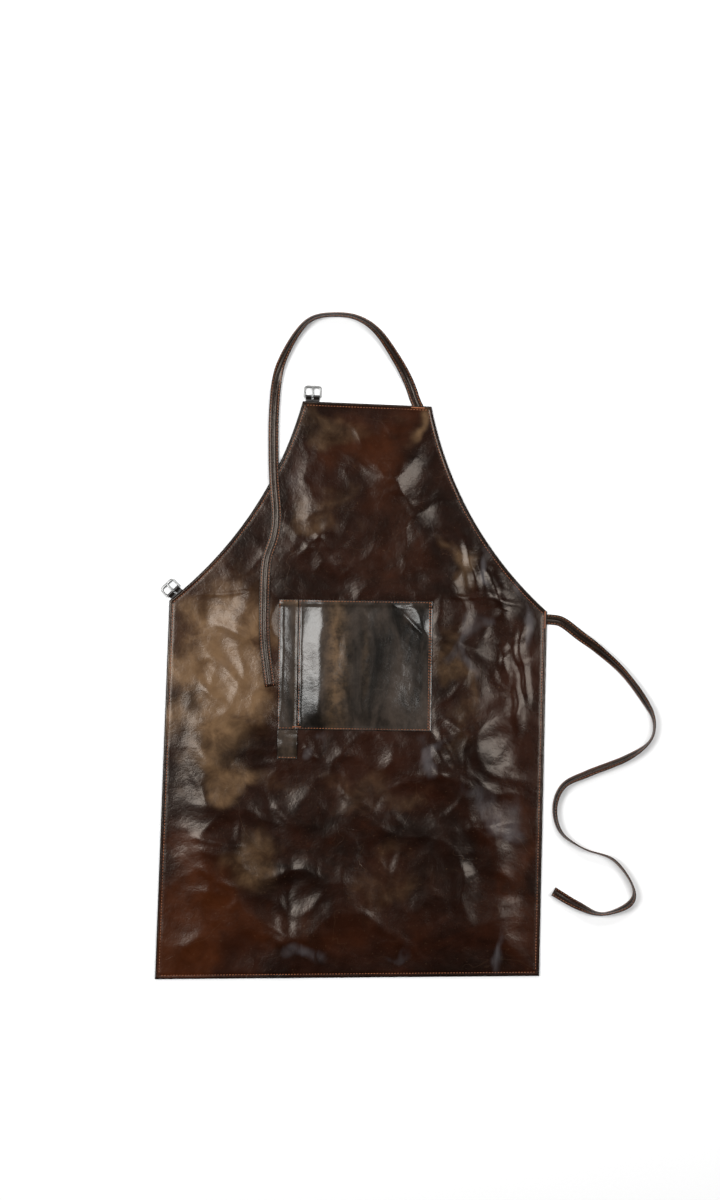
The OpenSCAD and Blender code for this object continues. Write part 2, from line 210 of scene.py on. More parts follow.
# Swells of the hide: x, y, half sizes along and across, turn in degrees, height
SWELLS = (
    (-150, 30, 60, 150, -20, 5.0),
    (-60, 300, 46, 90, 10, 2.6),
    (150, 60, 45, 110, 20, 5.5),
    (215, 170, 30, 90, 28, 5.0),
    (190, -110, 42, 84, -20, 7.5),
    (120, -130, 35, 60, 35, 4.5),
    (60, 330, 50, 80, -5, 4.0),
    (-40, -300, 60, 120, 12, 4.0),
    (130, -310, 60, 110, -18, 4.5),
    (-210, -300, 55, 100, 25, 4.0),
    (235, -300, 30, 120, 4, 3.5),
    (-95, -420, 26, 80, 5, 4.0),
    (20, -200, 70, 60, 30, 3.0),
    (-225, -130, 35, 110, 12, 3.5),
)

# Creases where the hide was folded: start, end, half width, height
CREASES = (
    ((-2, -340), (125, -442), 7, 1.6),
    ((-262, -235), (-150, -262), 6, 1.3),
    ((-250, -285), (-170, -325), 6, 1.2),
    ((128, -62), (176, -140), 9, 2.4),
    ((140, -48), (190, -90), 7, 1.8),
    ((120, -98), (150, -160), 7, 1.8),
    ((-66, -90), (-50, -122), 6, 1.6),
    ((-240, 60), (-150, -20), 8, 1.5),
    ((-250, 20), (-185, -50), 7, 1.3),
    ((-230, 100), (-130, 60), 7, 1.4),
    ((-20, 250), (-95, 190), 7, 1.2),
    ((60, 330), (110, 250), 8, 1.2),
    ((180, 240), (205, 120), 9, 3.2),
    ((205, 210), (240, 90), 8, 2.8),
    ((250, 60), (262, -100), 8, 2.7),
    ((-92, -240), (-98, -455), 9, -1.2),
    ((90, -230), (60, -320), 8, 1.2),
    ((170, -210), (230, -260), 8, 1.4),
    ((222, 195), (236, 118), 8, 2.9),
    ((264, 118), (276, -60), 8, 2.5),
    ((236, 70), (244, -20), 7, 2.4),
    ((-268, 141), (-112, 138), 3.5, 0.8),
    ((122, 137), (292, 124), 3.5, 0.8),
    ((-130, -180), (-80, -235), 8, 1.3),
)


def ridge(x, y, start, end, width, height):
    """A rounded ridge that fades out at both ends of a line."""
    start = np.asarray(start, float)
    run = np.asarray(end, float) - start
    length = np.linalg.norm(run)
    along = ((x - start[0]) * run[0] + (y - start[1]) * run[1]) / length
    across = ((x - start[0]) * -run[1] + (y - start[1]) * run[0]) / length
    fade = smooth_step(along, 0, 0.35 * length) * (1 - smooth_step(along, 0.65 * length, length))
    return height * fade * np.exp(-(across / width) ** 2)


def patch(x, y, middle_x, middle_y, along, across, turn, strength):
    """A soft oval patch."""
    c, s = math.cos(math.radians(turn)), math.sin(math.radians(turn))
    u = ((x - middle_x) * c + (y - middle_y) * s) / along
    v = ((y - middle_y) * c - (x - middle_x) * s) / across
    return strength * np.exp(-(u * u + v * v))


def pocket_place(u, v):
    """From the pocket's own frame to the table's."""
    c, s = math.cos(math.radians(POCKET_TURN)), math.sin(math.radians(POCKET_TURN))
    return POCKET_ORIGIN[0] + u * c - v * s, POCKET_ORIGIN[1] + u * s + v * c


def pocket_frame(x, y):
    """From the table's frame to the pocket's own."""
    c, s = math.cos(math.radians(POCKET_TURN)), math.sin(math.radians(POCKET_TURN))
    dx, dy = x - POCKET_ORIGIN[0], y - POCKET_ORIGIN[1]
    return dx * c + dy * s, dy * c - dx * s


def held_by_pocket(x, y):
    """One where the pocket's rows hold the hide level, zero well away from them."""
    u, v = pocket_frame(x, y)
    within = np.minimum(PATCH_W / 2 - np.abs(u), POCKET_H / 2 - np.abs(v - POCKET_H / 2))
    return smooth_step(within, -18, 22)


def lift(x, y, wave_height):
    """How far the lying hide stands off a flat lay."""
    inward = edge_distance(x, y)
    height = 0.9 * wave_height * waves(x, y, 130, 4.7, 2)
    height += 0.28 * wave_height * waves(x, y, 55, 9.2, 3)
    height += 0.75 * wave_height * creased(x, y, 120, 3.3)
    height += 0.32 * wave_height * creased(x, y, 58, 6.1)
    wander_x = x + 9 * waves(x, y, 60, 2.3, 2)
    wander_y = y + 9 * waves(x, y, 60, 7.9, 2)
    for swell in SWELLS:
        height += patch(wander_x, wander_y, *swell)
    height *= 0.22 + 0.78 * smooth_step(inward, 4, 70)
    for crease in CREASES:
        height += ridge(wander_x, wander_y, *crease) * smooth_step(inward, 3, 26)
    height *= 1 - 0.72 * held_by_pocket(x, y)
    height -= (0.7 + 0.6 * waves(x, y, 90, 8.8, 2)) * smooth_step(inward, HEM_TURN, 52)
    floor = -1.7 * smooth_step(inward, HEM_TURN, 40)
    return soft_max(height, floor, 0.35)


def edge_round(inward):
    """How far the turned edge has rounded down from its full height."""
    into = LEATHER_T - np.clip(inward, 0, LEATHER_T)
    return LEATHER_T - np.sqrt(np.maximum(0.0, LEATHER_T ** 2 - into ** 2))


def body_top(x, y, wave_height):
    """Height of the body's grain side above the table."""
    inward = edge_distance(x, y)
    groove = 0.5 * np.exp(-((inward - EDGE_ROW) / 1.1) ** 2)
    pillow = 0.3 * np.exp(-((inward - 3.2) / 1.6) ** 2)
    return 2 * LEATHER_T + lift(x, y, wave_height) - groove + pillow - edge_round(inward)


# ------------------------------------------------------------------ pieces


def new_mesh(name, places_mm, faces, attributes=None):
    """A smooth-shaded mesh from places in mm."""
    mesh = bpy.data.meshes.new(name)
    mesh.from_pydata((np.asarray(places_mm, float) * MM).tolist(), [], faces)
    mesh.polygons.foreach_set("use_smooth", [True] * len(mesh.polygons))
    for key, values in (attributes or {}).items():
        layer = mesh.attributes.new(key, "FLOAT", "POINT")
        layer.data.foreach_set("value", np.asarray(values, np.float32).ravel())
    mesh.validate()
    mesh.update()
    return mesh


def new_piece(name, mesh, materials, stands_for=(), body="apron"):
    """A mesh object that rides on a body and stands for CAD nodes."""
    piece = bpy.data.objects.new(name, mesh)
    bpy.context.scene.collection.objects.link(piece)
    for material in materials:
        mesh.materials.append(material)
    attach(piece, body)
    if stands_for:
        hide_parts(*stands_for)
    return piece


def shell_faces(rows, columns):
    """Faces of a closed sheet: a top grid, and an underside grid that shares the top's rim."""
    def top(j, i):
        return j * columns + i

    under = {}
    count = rows * columns
    for j in range(1, rows - 1):
        for i in range(1, columns - 1):
            under[(j, i)] = count
            count += 1

    def low(j, i):
        return under.get((j, i), top(j, i))

    over_faces = []
    under_faces = []
    for j in range(rows - 1):
        for i in range(columns - 1):
            over_faces.append((top(j, i), top(j, i + 1), top(j + 1, i + 1), top(j + 1, i)))
            under_faces.append((low(j, i), low(j + 1, i), low(j + 1, i + 1), low(j, i + 1)))
    return over_faces, under_faces


def shell(name, x, y, top, bottom, attributes=None):
    """A closed sheet from grids of places. Its rim lies half way between top and bottom."""
    rows, columns = x.shape
    rim_z = (top + bottom) / 2
    inside = (slice(1, rows - 1), slice(1, columns - 1))
    z = rim_z.copy()
    z[inside] = top[inside]
    over = np.stack((x.ravel(), y.ravel(), z.ravel()), axis=1)
    under = np.stack((x[inside].ravel(), y[inside].ravel(), bottom[inside].ravel()), axis=1)
    over_faces, under_faces = shell_faces(rows, columns)
    spread = {}
    for key, values in (attributes or {}).items():
        spread[key] = np.concatenate((values.ravel(), values[inside].ravel()))
    mesh = new_mesh(name, np.concatenate((over, under)), over_faces + under_faces, spread)
    flags = [0] * len(over_faces) + [1] * len(under_faces)
    return mesh, flags


EDGE_STEPS = np.array((0.0, 0.25, 0.8, 1.8, 3.3, 5.0, 6.0, 7.0, 8.8, 11.2))


def body_grid(pitch):
    """Places over the body in rows from hem to bib."""
    skirt = HEM_W * 0.5 / pitch
    shares = list(EDGE_STEPS / SKIRT_H)
    shares += list(np.linspace(14 / SKIRT_H, 1, int(skirt * 2 * SKIRT_H / HEM_W)))
    arc = np.linalg.norm(BIB_LEFT - WAIST_LEFT)
    shares += list(np.linspace(1, 2 - 14 / arc, int(arc / pitch))[1:])
    shares += list(2 - EDGE_STEPS[::-1] / (0.96 * arc))
    columns = int(HEM_W / pitch)
    x_rows = []
    y_rows = []
    for s in shares:
        left, right = side_point("left", s), side_point("right", s)
        run = right - left
        length = np.linalg.norm(run)
        step = 1e-3
        slants = []
        for side, place in (("left", left), ("right", right)):
            ahead = side_point(side, min(2.0, s + step))
            behind = side_point(side, max(0.0, s - step))
            along = unit(ahead - behind)
            slants.append(abs(run[0] * along[1] - run[1] * along[0]) / length)
        start = EDGE_STEPS / slants[0]
        end = length - EDGE_STEPS[::-1] / slants[1]
        inner = np.linspace(14 / slants[0], length - 14 / slants[1], columns)
        at = np.concatenate((start, inner, end)) / length
        x_rows.append(left[0] + at * run[0])
        y_rows.append(left[1] + at * run[1])
    return np.array(x_rows), np.array(y_rows)


# Where the hide is pulled to a lighter tan, partly painted sheen too; where it keeps a red cast; and painted
# grey sheen where the gloss would catch the light
TAN_AND_SHEEN_PATCHES = (
    (-205, 15, 74, 128, -12, 1.1), (-160, -278, 48, 40, 30, 0.42), (-50, 268, 60, 30, 10, 0.4),
    (100, 392, 18, 36, 10, 0.5), (167, 206, 28, 42, 20, 0.4), (165, 20, 34, 100, 10, 0.38),
    (-185, -150, 60, 30, 0, 0.45), (20, -170, 120, 30, 0, 0.25), (-40, 405, 90, 22, 0, 0.3),
    (60, -320, 90, 50, 20, 0.25),
)
RED_PATCHES = (
    (15, 380, 80, 50, 0, 0.7), (60, 300, 60, 90, 0, 0.5), (-245, -330, 55, 110, 0, 1.0),
    (-280, -420, 60, 60, 0, 1.0), (-110, -380, 100, 60, 0, 0.6), (80, 180, 70, 50, 0, 0.4),
    (100, -380, 120, 60, 0, 0.35), (270, -280, 30, 160, 0, 0.6), (10, -240, 120, 60, 0, 0.4),
)
# Patches of painted grey sheen: light grey put where gloss would catch the light
PAINTED_SHEEN_PATCHES = (
    (217, 184, 12, 44, 15, 1.0), (272, 84, 20, 52, 20, 1.0), (185, 60, 16, 90, 0, 0.8),
    (134, -100, 18, 50, -25, 1.0), (228, -195, 50, 34, -20, 0.8), (228, -412, 20, 48, 0, 0.8),
    (-66, -418, 30, 28, 0, 0.8), (-95, 300, 22, 40, -20, 0.5), (-45, -98, 12, 22, 0, 0.6),
    (-190, 60, 40, 60, -30, 0.5), (80, -420, 14, 50, -50, 0.5), (150, 240, 14, 60, 30, 0.4),
)


def patches(x, y, group):
    """A group of soft patches with wandering outlines."""
    total = np.zeros(np.shape(x))
    x, y = x + 45 * waves(x, y, 70, 1.9, 3), y + 45 * waves(x, y, 70, 5.1, 3)
    for one in group:
        total += patch(x, y, *one)
    return np.clip(total, 0, 1)


def root_mask(x, y, place, width, root):
    """One where a strap's root lies behind the body."""
    along = (x - place[0][0]) * heading(place[1])[0] + (y - place[0][1]) * heading(place[1])[1]
    side = left_of(heading(place[1]))
    across = (x - place[0][0]) * side[0] + (y - place[0][1]) * side[1]
    return (np.abs(across) < width / 2 + 2) & (along > -root - 2) & (along < 12)


# Folds down the pocket: place from its left side, half width, height
POCKET_FOLDS = ((34, 17, 4.6), (120, 13, 0.8))


def arch(u, width, margin):
    return np.maximum(0, 1 - ((u - width / 2) / (width / 2 - margin)) ** 2)


def open_rise(v, reach=3.0):
    return np.sin(np.radians(90 * np.clip((v - 6) / (POCKET_H / reach), 0, 1)))


def pocket_off(u, v):
    """How far the pocket stands off the body, from places in its own frame."""
    flat = smooth_step(u, 4, 14) * (1 - smooth_step(u, POCKET_W - 14, POCKET_W - 5))
    off = 4.2 * arch(u, POCKET_W, 6) * open_rise(v, 6)
    for middle, width, height in POCKET_FOLDS:
        from_crest = u - middle - 0.02 * v - 4 * waves(0 * u, v, 70, middle, 2)
        spread = np.where(from_crest < 0, width, 2.1 * width)
        off += height * np.exp(-(from_crest / spread) ** 2) * open_rise(v, 9) * flat
    past_crease = np.maximum(0, (u - 146 + v - 200) / math.sqrt(2))
    off += patch(u, v, 170, 182, 26, 26, 0, 1.8) * flat - 0.16 * past_crease * flat
    off += ridge(u, v, (140, 206), (208, 138), 2.2, 1.3) * flat
    off += 0.45 * creased(u, v, 70, 2.4) * smooth_step(u, 92, 125) * flat * smooth_step(v, 4, 30)
    off += 0.3 * waves(u, v, 34, 5.5, 3) * flat * smooth_step(v, 4, 22)
    lip = 2.0 * np.exp(-((u - 2.4) / 1.7) ** 2) * (0.75 + 0.5 * waves(u * 0, v, 26, 1.2, 2))
    return np.maximum(off, 0) + np.maximum(lip, 0) * smooth_step(v, 3, 12)


def sleeve_off(u, v):
    width = SLEEVE_W - SEAM_GAP
    crest = 1 - np.abs(u - 7) / np.where(u < 7, 4, width - 11)
    off = 1.3 * smooth_step(crest, 0, 1.2) * open_rise(v, 1.6)
    off += 0.35 * waves(u, v, 30, 8.5, 2) * smooth_step(v, 4, 22) * arch(u, width, 3)
    return np.maximum(off, 0)


def turned_top(v):
    """How far a patch's turned top edge stands above the rest of it."""
    return 0.8 * smooth_step(v, POCKET_H - POCKET_TURNED - 0.6, POCKET_H - POCKET_TURNED + 0.6)


def patch_grid(width, height, pitch):
    """Places over a patch, close together near its sides."""
    steps = np.array((0.0, 0.2, 0.6, 1.2, 1.9, 2.5, 3.1, 4.2, 5.6))

    def run(length):
        inner = np.linspace(7.5, length - 7.5, max(2, int((length - 15) / pitch)))
        return np.concatenate((steps, inner, length - steps[::-1]))

    return np.meshgrid(run(width), run(height))


def cut_round(inward, half):
    """How far a cut edge has been rounded down."""
    near = np.clip(inward, 0, half)
    return half - np.sqrt(np.maximum(0.0, half ** 2 - (half - near) ** 2))


# ------------------------------------------------------------------ thread


def sample_line(points, distances, values=None):
    """Places at distances along a line of points, or values that the points carry."""
    points = np.asarray(points, float)
    values = points if values is None else np.asarray(values, float)
    steps = np.linalg.norm(np.diff(points, axis=0), axis=1)
    at = np.concatenate(((0.0,), np.cumsum(steps)))
    return np.stack([np.interp(distances, at, values[:, k]) for k in range(values.shape[1])], axis=1)


def line_length(points):
    return float(np.linalg.norm(np.diff(np.asarray(points, float), axis=0), axis=1).sum())


# Share along a stitch, share of its full width, and how far it rises
STITCH_PROFILE = (
    (-0.5, 0.35, -0.25), (-0.42, 0.85, 0.0), (0.0, 1.0, 0.14), (0.42, 0.85, 0.0),
    (0.5, 0.35, -0.25),
)
STITCH_SIDES = 7


def add_stitch(verts, faces, middle, along, up, length, width):
    """One stitch: a short rounded bead of thread that dives into the leather at both ends."""
    along = unit(along)
    side = unit(np.cross(up, along))
    up = np.cross(along, side)
    base = len(verts)
    for share, fat, raise_by in STITCH_PROFILE:
        centre = middle + along * length * share + up * width * raise_by
        for k in range(STITCH_SIDES):
            angle = 2 * math.pi * k / STITCH_SIDES
            verts.append(centre + fat * width / 2 * (side * math.cos(angle) + up * math.sin(angle)))
    for r in range(len(STITCH_PROFILE) - 1):
        for k in range(STITCH_SIDES):
            a = base + r * STITCH_SIDES + k
            b = base + r * STITCH_SIDES + (k + 1) % STITCH_SIDES
            faces.append((a, a + STITCH_SIDES, b + STITCH_SIDES, b))
    last = base + (len(STITCH_PROFILE) - 1) * STITCH_SIDES
    faces.append([base + k for k in range(STITCH_SIDES)])
    faces.append([last + STITCH_SIDES - 1 - k for k in range(STITCH_SIDES)])


def add_row(verts, faces, points, ups, sizes, seed):
    """A row of stitches along a line of points, each with its own up."""
    rng = random.Random(seed)
    length = line_length(points)
    count = max(1, round(length / sizes.stitch_pitch))
    pitch = length / count
    middles = (np.arange(count) + 0.5) * pitch
    reach = 0.25 * sizes.stitch_pitch
    at = sample_line(points, middles)
    before = sample_line(points, middles - reach)
    after = sample_line(points, middles + reach)
    up_at = sample_line(points, middles, ups)
    for k in range(count):
        along = after[k] - before[k]
        side = unit(np.cross(up_at[k], along))
        along = unit(along) + side * rng.uniform(0.02, 0.12)
        middle = at[k] + side * rng.uniform(-0.08, 0.08) + up_at[k] * 0.1
        add_stitch(verts, faces, middle, along, up_at[k],
                   sizes.stitch_length * rng.uniform(0.94, 1.05), sizes.stitch_width)


def on_surface(points, height):
    """Plan points lifted onto a surface, with the surface's up at each."""
    points = np.asarray(points, float)
    x, y = points[:, 0], points[:, 1]
    step = 1.0
    slope_x = (height(x + step, y) - height(x - step, y)) / (2 * step)
    slope_y = (height(x, y + step) - height(x, y - step)) / (2 * step)
    ups = np.stack((-slope_x, -slope_y, np.ones(len(x))), axis=1)
    ups /= np.linalg.norm(ups, axis=1)[:, None]
    return np.stack((x, y, height(x, y)), axis=1), ups


def plan_line(start, end, pitch=3.0):
    start, end = np.asarray(start, float), np.asarray(end, float)
    count = max(2, int(np.linalg.norm(end - start) / pitch) + 1)
    return start + np.linspace(0, 1, count)[:, None] * (end - start)


def bar_tack(verts, faces, start, end, height, width=2.0):
    """A dense bar of thread laid to and fro across a line."""
    middle, ups = on_surface(plan_line(start, end, 0.62), height)
    run = unit(np.append(np.asarray(end, float) - start, 0))
    for k, (place, up) in enumerate(zip(middle, ups)):
        across = unit(np.cross(up, run)) + run * (0.18 if k % 2 else -0.18)
        add_stitch(verts, faces, place + up * 0.22, across, up, width, 0.72)


# ------------------------------------------------------------------ ties

ON_BODY = 2 * LEATHER_T + 0.5
NECK_ROUTE = (
    (101, 440, 0, 0), (91, 468, 8, 0), (73, 503, 25, 0), (42, 548, 42, 0),
    (10, 570, 55, 0), (-26, 575, 60, 0), (-60, 569, 58, 0), (-84, 546, 50, 0),
    (-107, 504, 35, 0), (-116, 470, 12, 0), (-120, 425, 0, ON_BODY), (-121, 380, 0, ON_BODY),
    (-120, 320, 0, ON_BODY), (-116, 262, 0, ON_BODY), (-120, 228, 0, ON_BODY),
    (-132, 188, 0, ON_BODY), (-135, 120, 0, ON_BODY), (-134, 60, 0, ON_BODY),
    (-126, -5, 0, ON_BODY),
)
WAIST_ROUTE = (
    (314, 99, 0, 0), (332, 94, 0, 0), (358, 74, 12, 0), (386, 53, 30, 0),
    (425, 17, 50, 0), (458, -27, 55, 0), (473, -60, 80, 0), (466, -91, 86, 0),
    (430, -117, 58, 0), (370, -141, 52, 0), (332, -160, 62, 0), (318, -195, 68, 0),
    (328, -233, 75, 0), (363, -258, 87, 0), (410, -276, 78, 0), (440, -318, 86, 0),
    (434, -345, 64, 0), (392, -360, 80, 0), (354, -347, 42, 0), (316, -325, 30, 0),
)

# Across and up: a strip folded to its middle, so one face has a groove down its centre
TIE_STITCH_AT = 5.7
TIE_TOP = (
    (8.0, 0.0), (7.85, 0.42), (7.35, 0.74), (6.5, 0.85), (5.7, 0.6), (4.9, 0.88), (2.6, 0.98),
    (0.8, 0.8), (0.25, 0.3), (-0.25, 0.3), (-0.8, 0.8), (-2.6, 0.98), (-4.9, 0.88), (-5.7, 0.6),
    (-6.5, 0.85), (-7.35, 0.74), (-7.85, 0.42), (-8.0, 0.0),
)
TIE_BACK = (
    (-7.85, -0.42), (-7.35, -0.72), (-6.5, -0.8), (-5.7, -0.62), (-4.9, -0.8), (0.0, -0.85),
    (4.9, -0.8), (5.7, -0.62), (6.5, -0.8), (7.35, -0.72), (7.85, -0.42),
)
TIE_SECTION = TIE_TOP + TIE_BACK


def catmull(a, b, c, d, t):
    return (2 * b + (c - a) * t + (2 * a - 5 * b + 4 * c - d) * t * t
            + (3 * b - a - 3 * c + d) * t * t * t) / 2


def smooth_route(place, route, per_leg=16):
    """The CAD's curve through a route, from the root behind the body."""
    back = place[0] - TIE_ROOT * heading(place[1])
    points = [np.array((back[0], back[1], 0.0, 0.0))] + [np.array(p, float) for p in route]
    last = len(points) - 1
    out = []
    for i in range(last):
        for k in range(per_leg):
            out.append(catmull(points[max(i - 1, 0)], points[i], points[i + 1],
                               points[min(i + 2, last)], k / per_leg))
    out.append(points[last])
    return np.array(out)


def tie_frames(place, route, wave_height, pitch=4.0):
    """Centres, across vectors and up vectors down a tie, resting on what is under it."""
    fine = smooth_route(place, route)
    plan = fine[:, :2]
    steps = np.linalg.norm(np.diff(plan, axis=0), axis=1)
    at = np.concatenate(((0.0,), np.cumsum(steps)))
    marks = np.linspace(0, at[-1], int(at[-1] / pitch) + 1)
    x, y, lean, ground = (np.interp(marks, at, fine[:, k]) for k in range(4))
    lean = np.radians(np.clip(lean, 0, 90))
    along = np.stack((np.gradient(x), np.gradient(y)), axis=1)
    along /= np.linalg.norm(along, axis=1)[:, None]
    side = np.stack((-along[:, 1], along[:, 0]), axis=1)
    surface = np.maximum(ground, 0)
    clear = marks > TIE_ROOT + 10
    for offset in (-TIE_W / 2, 0, TIE_W / 2):
        sx, sy = x + offset * side[:, 0], y + offset * side[:, 1]
        over = clear & (edge_distance(sx, sy) > -2)
        top = body_top(sx, sy, wave_height) + 0.15
        surface = np.where(over, np.maximum(surface, top), surface)
    reach = 3
    widest = np.array([surface[max(0, k - reach):k + reach + 1].max() for k in range(len(surface))])
    widest = np.where(clear, widest, surface)
    kernel = np.ones(2 * reach + 1) / (2 * reach + 1)
    eased = np.convolve(np.pad(widest, reach, mode="edge"), kernel, mode="valid")
    surface = np.where(clear, np.maximum(eased, surface), surface)
    z = surface + TIE_W / 2 * np.sin(lean) + TIE_T / 2 * np.cos(lean)
    centres = np.stack((x, y, z), axis=1)
    zeros = np.zeros(len(x))
    across = np.stack((side[:, 0] * np.cos(lean), side[:, 1] * np.cos(lean), np.sin(lean)), axis=1)
    up = np.stack((-side[:, 0] * np.sin(lean), -side[:, 1] * np.sin(lean), np.cos(lean) + zeros), axis=1)
    return centres, across, up


def sweep(name, centres, across, up, section):
    """A closed mesh with one section carried along a line."""
    section = np.asarray(section, float)
    n = len(section)
    rings = (centres[:, None, :] + section[None, :, :1] * across[:, None, :]
             + section[None, :, 1:] * up[:, None, :])
    faces = []
    for r in range(len(centres) - 1):
        for k in range(n):
            a, b = r * n + k, r * n + (k + 1) % n
            faces.append((a, b, b + n, a + n))
    last = (len(centres) - 1) * n
    faces.append([k for k in range(n - 1, -1, -1)])
    faces.append([last + k for k in range(n)])
    groove = np.tile(np.abs(section[:, 0]) / (TIE_W / 2), len(centres))
    upper = np.tile((section[:, 1] > 0.1).astype(float), len(centres))
    return new_mesh(name, rings.reshape(-1, 3), faces, {"rim": groove, "face_side": upper})


# ------------------------------------------------------------------ shaders


class Wire:
    """A shader value. Arithmetic on it adds Math nodes."""

    def __init__(self, shader, socket):
        self.shader = shader
        self.socket = socket

    def _math(self, operation, first, second=None):
        values = {0: first} if second is None else {0: first, 1: second}
        return self.shader.node("Math", {"operation": operation}, values)

    def __add__(self, other):
        return self._math("ADD", self, other)

    def __radd__(self, other):
        return self._math("ADD", other, self)

    def __sub__(self, other):
        return self._math("SUBTRACT", self, other)

    def __rsub__(self, other):
        return self._math("SUBTRACT", other, self)

    def __mul__(self, other):
        return self._math("MULTIPLY", self, other)

    def __rmul__(self, other):
        return self._math("MULTIPLY", other, self)

    def __truediv__(self, other):
        return self._math("DIVIDE", self, other)

    def __pow__(self, other):
        return self._math("POWER", self, other)

    def between(self, low, high):
        """0 below low, 1 above high, smooth between."""
        sockets = {"Value": self, "From Min": low, "From Max": high}
        return self.shader.node("MapRange", {"interpolation_type": "SMOOTHSTEP"}, sockets)


class Shader:
    """One material and the nodes in it."""

    def __init__(self, name):
        self.material = bpy.data.materials.new(name)
        self.material.use_nodes = True
        self.tree = self.material.node_tree
        self.tree.nodes.clear()
        self.place = self.node("TexCoord", out="Object")

    def node(self, kind, settings=None, sockets=None, out=0):
        """Adds a node, sets its settings, then gives its sockets their values or links."""
        node = self.tree.nodes.new("ShaderNode" + kind)
        for key, value in (settings or {}).items():
            if key == "stops":
                self._set_stops(node.color_ramp, value)
            else:
                setattr(node, key, value)
        for key, value in (sockets or {}).items():
            socket = node.inputs[key]
            if isinstance(value, Wire):
                self.tree.links.new(value.socket, socket)
            elif socket.type == "RGBA":
                socket.default_value = (*tuple(value)[:3], 1.0)
            else:
                socket.default_value = value
        return Wire(self, node.outputs[out]) if node.outputs else None

    @staticmethod
    def _set_stops(ramp, stops):
        while len(ramp.elements) < len(stops):
            ramp.elements.new(0.5)
        for element, (position, colour) in zip(ramp.elements, stops):
            element.position = position
            element.color = (*tuple(colour)[:3], 1.0)

    def noise(self, size, detail=4.0, roughness=0.55, stretch=(1, 1, 1), warp=0.0):
        """Noise with spots about size metres across, 0 to 1."""
        place = self.node("Mapping", {"vector_type": "POINT"}, {"Vector": self.place, "Scale": stretch})
        sockets = {"Vector": place, "Scale": 1 / size, "Detail": detail,
                   "Roughness": roughness, "Distortion": warp}
        return self.node("TexNoise", None, sockets)

    def cells(self, size, feature="F1", warp_by=None, warp=0.0):
        """Distance in a pattern of cells about size metres across."""
        place = self.place
        if warp_by is not None:
            pushed = self.node("VectorMath", {"operation": "SCALE"}, {"Vector": warp_by, "Scale": warp})
            place = self.node("VectorMath", {"operation": "ADD"}, {0: place, 1: pushed})
        return self.node("TexVoronoi", {"feature": feature}, {"Vector": place, "Scale": 1 / size},
                         out="Distance")

    def fine_lines(self, size, width):
        """Thin wandering lines, where slow noise crosses its middle."""
        slow = self.noise(size, 2, 0.5, (1, 1.3, 1), 1.6)
        from_middle = self.node("Math", {"operation": "ABSOLUTE"}, {0: slow - 0.5})
        return 1 - from_middle.between(0.0, width)

    def attribute(self, name):
        return self.node("Attribute", {"attribute_name": name}, out="Fac")

    def mix(self, factor, a, b):
        return self.node("Mix", {"data_type": "RGBA"}, {0: factor, 6: a, 7: b}, out=2)

    def multiply(self, factor, a, b):
        settings = {"data_type": "RGBA", "blend_type": "MULTIPLY"}
        return self.node("Mix", settings, {0: factor, 6: a, 7: b}, out=2)

    def bump(self, height, distance, strength=1.0, below=None):
        sockets = {"Height": height, "Distance": distance, "Strength": strength}
        if below is not None:
            sockets["Normal"] = below
        return self.node("Bump", None, sockets)

    def finish(self, colour, roughness, normal, **constants):
        sockets = {"Base Color": colour, "Roughness": roughness}
        if normal is not None:
            sockets["Normal"] = normal
        sockets.update({key.replace("_", " "): value for key, value in constants.items()})
        surface = self.node("BsdfPrincipled", None, sockets)
        self.node("OutputMaterial", None, {"Surface": surface})
        return self.material


WARM_GLOSS = (1.0, 0.88, 0.77)
COOL_GLOSS = (0.97, 0.97, 0.95)


def grain_normal(shader, scale, depth):
    """Pores, fine wrinkles and soft handling marks in the grain side of a hide."""
    wander = shader.noise(0.012 * scale, 3)
    pores = shader.cells(0.0016 * scale, "F1", wander, 0.0015 * scale)
    wrinkles = shader.noise(0.0045 * scale, 5, 0.6, (1, 1.5, 1), 0.6)
    handling = shader.noise(0.024 * scale, 4, 0.5)
    crackle = shader.cells(0.009 * scale, "DISTANCE_TO_EDGE", wander, 0.007 * scale)
    height = pores * 0.5 + wrinkles * 1.2 + crackle.between(0.0, 0.2) * 0.9
    fine = shader.bump(height, 0.00004 * depth)
    return shader.bump(handling, 0.0006 * depth, 1.0, fine)


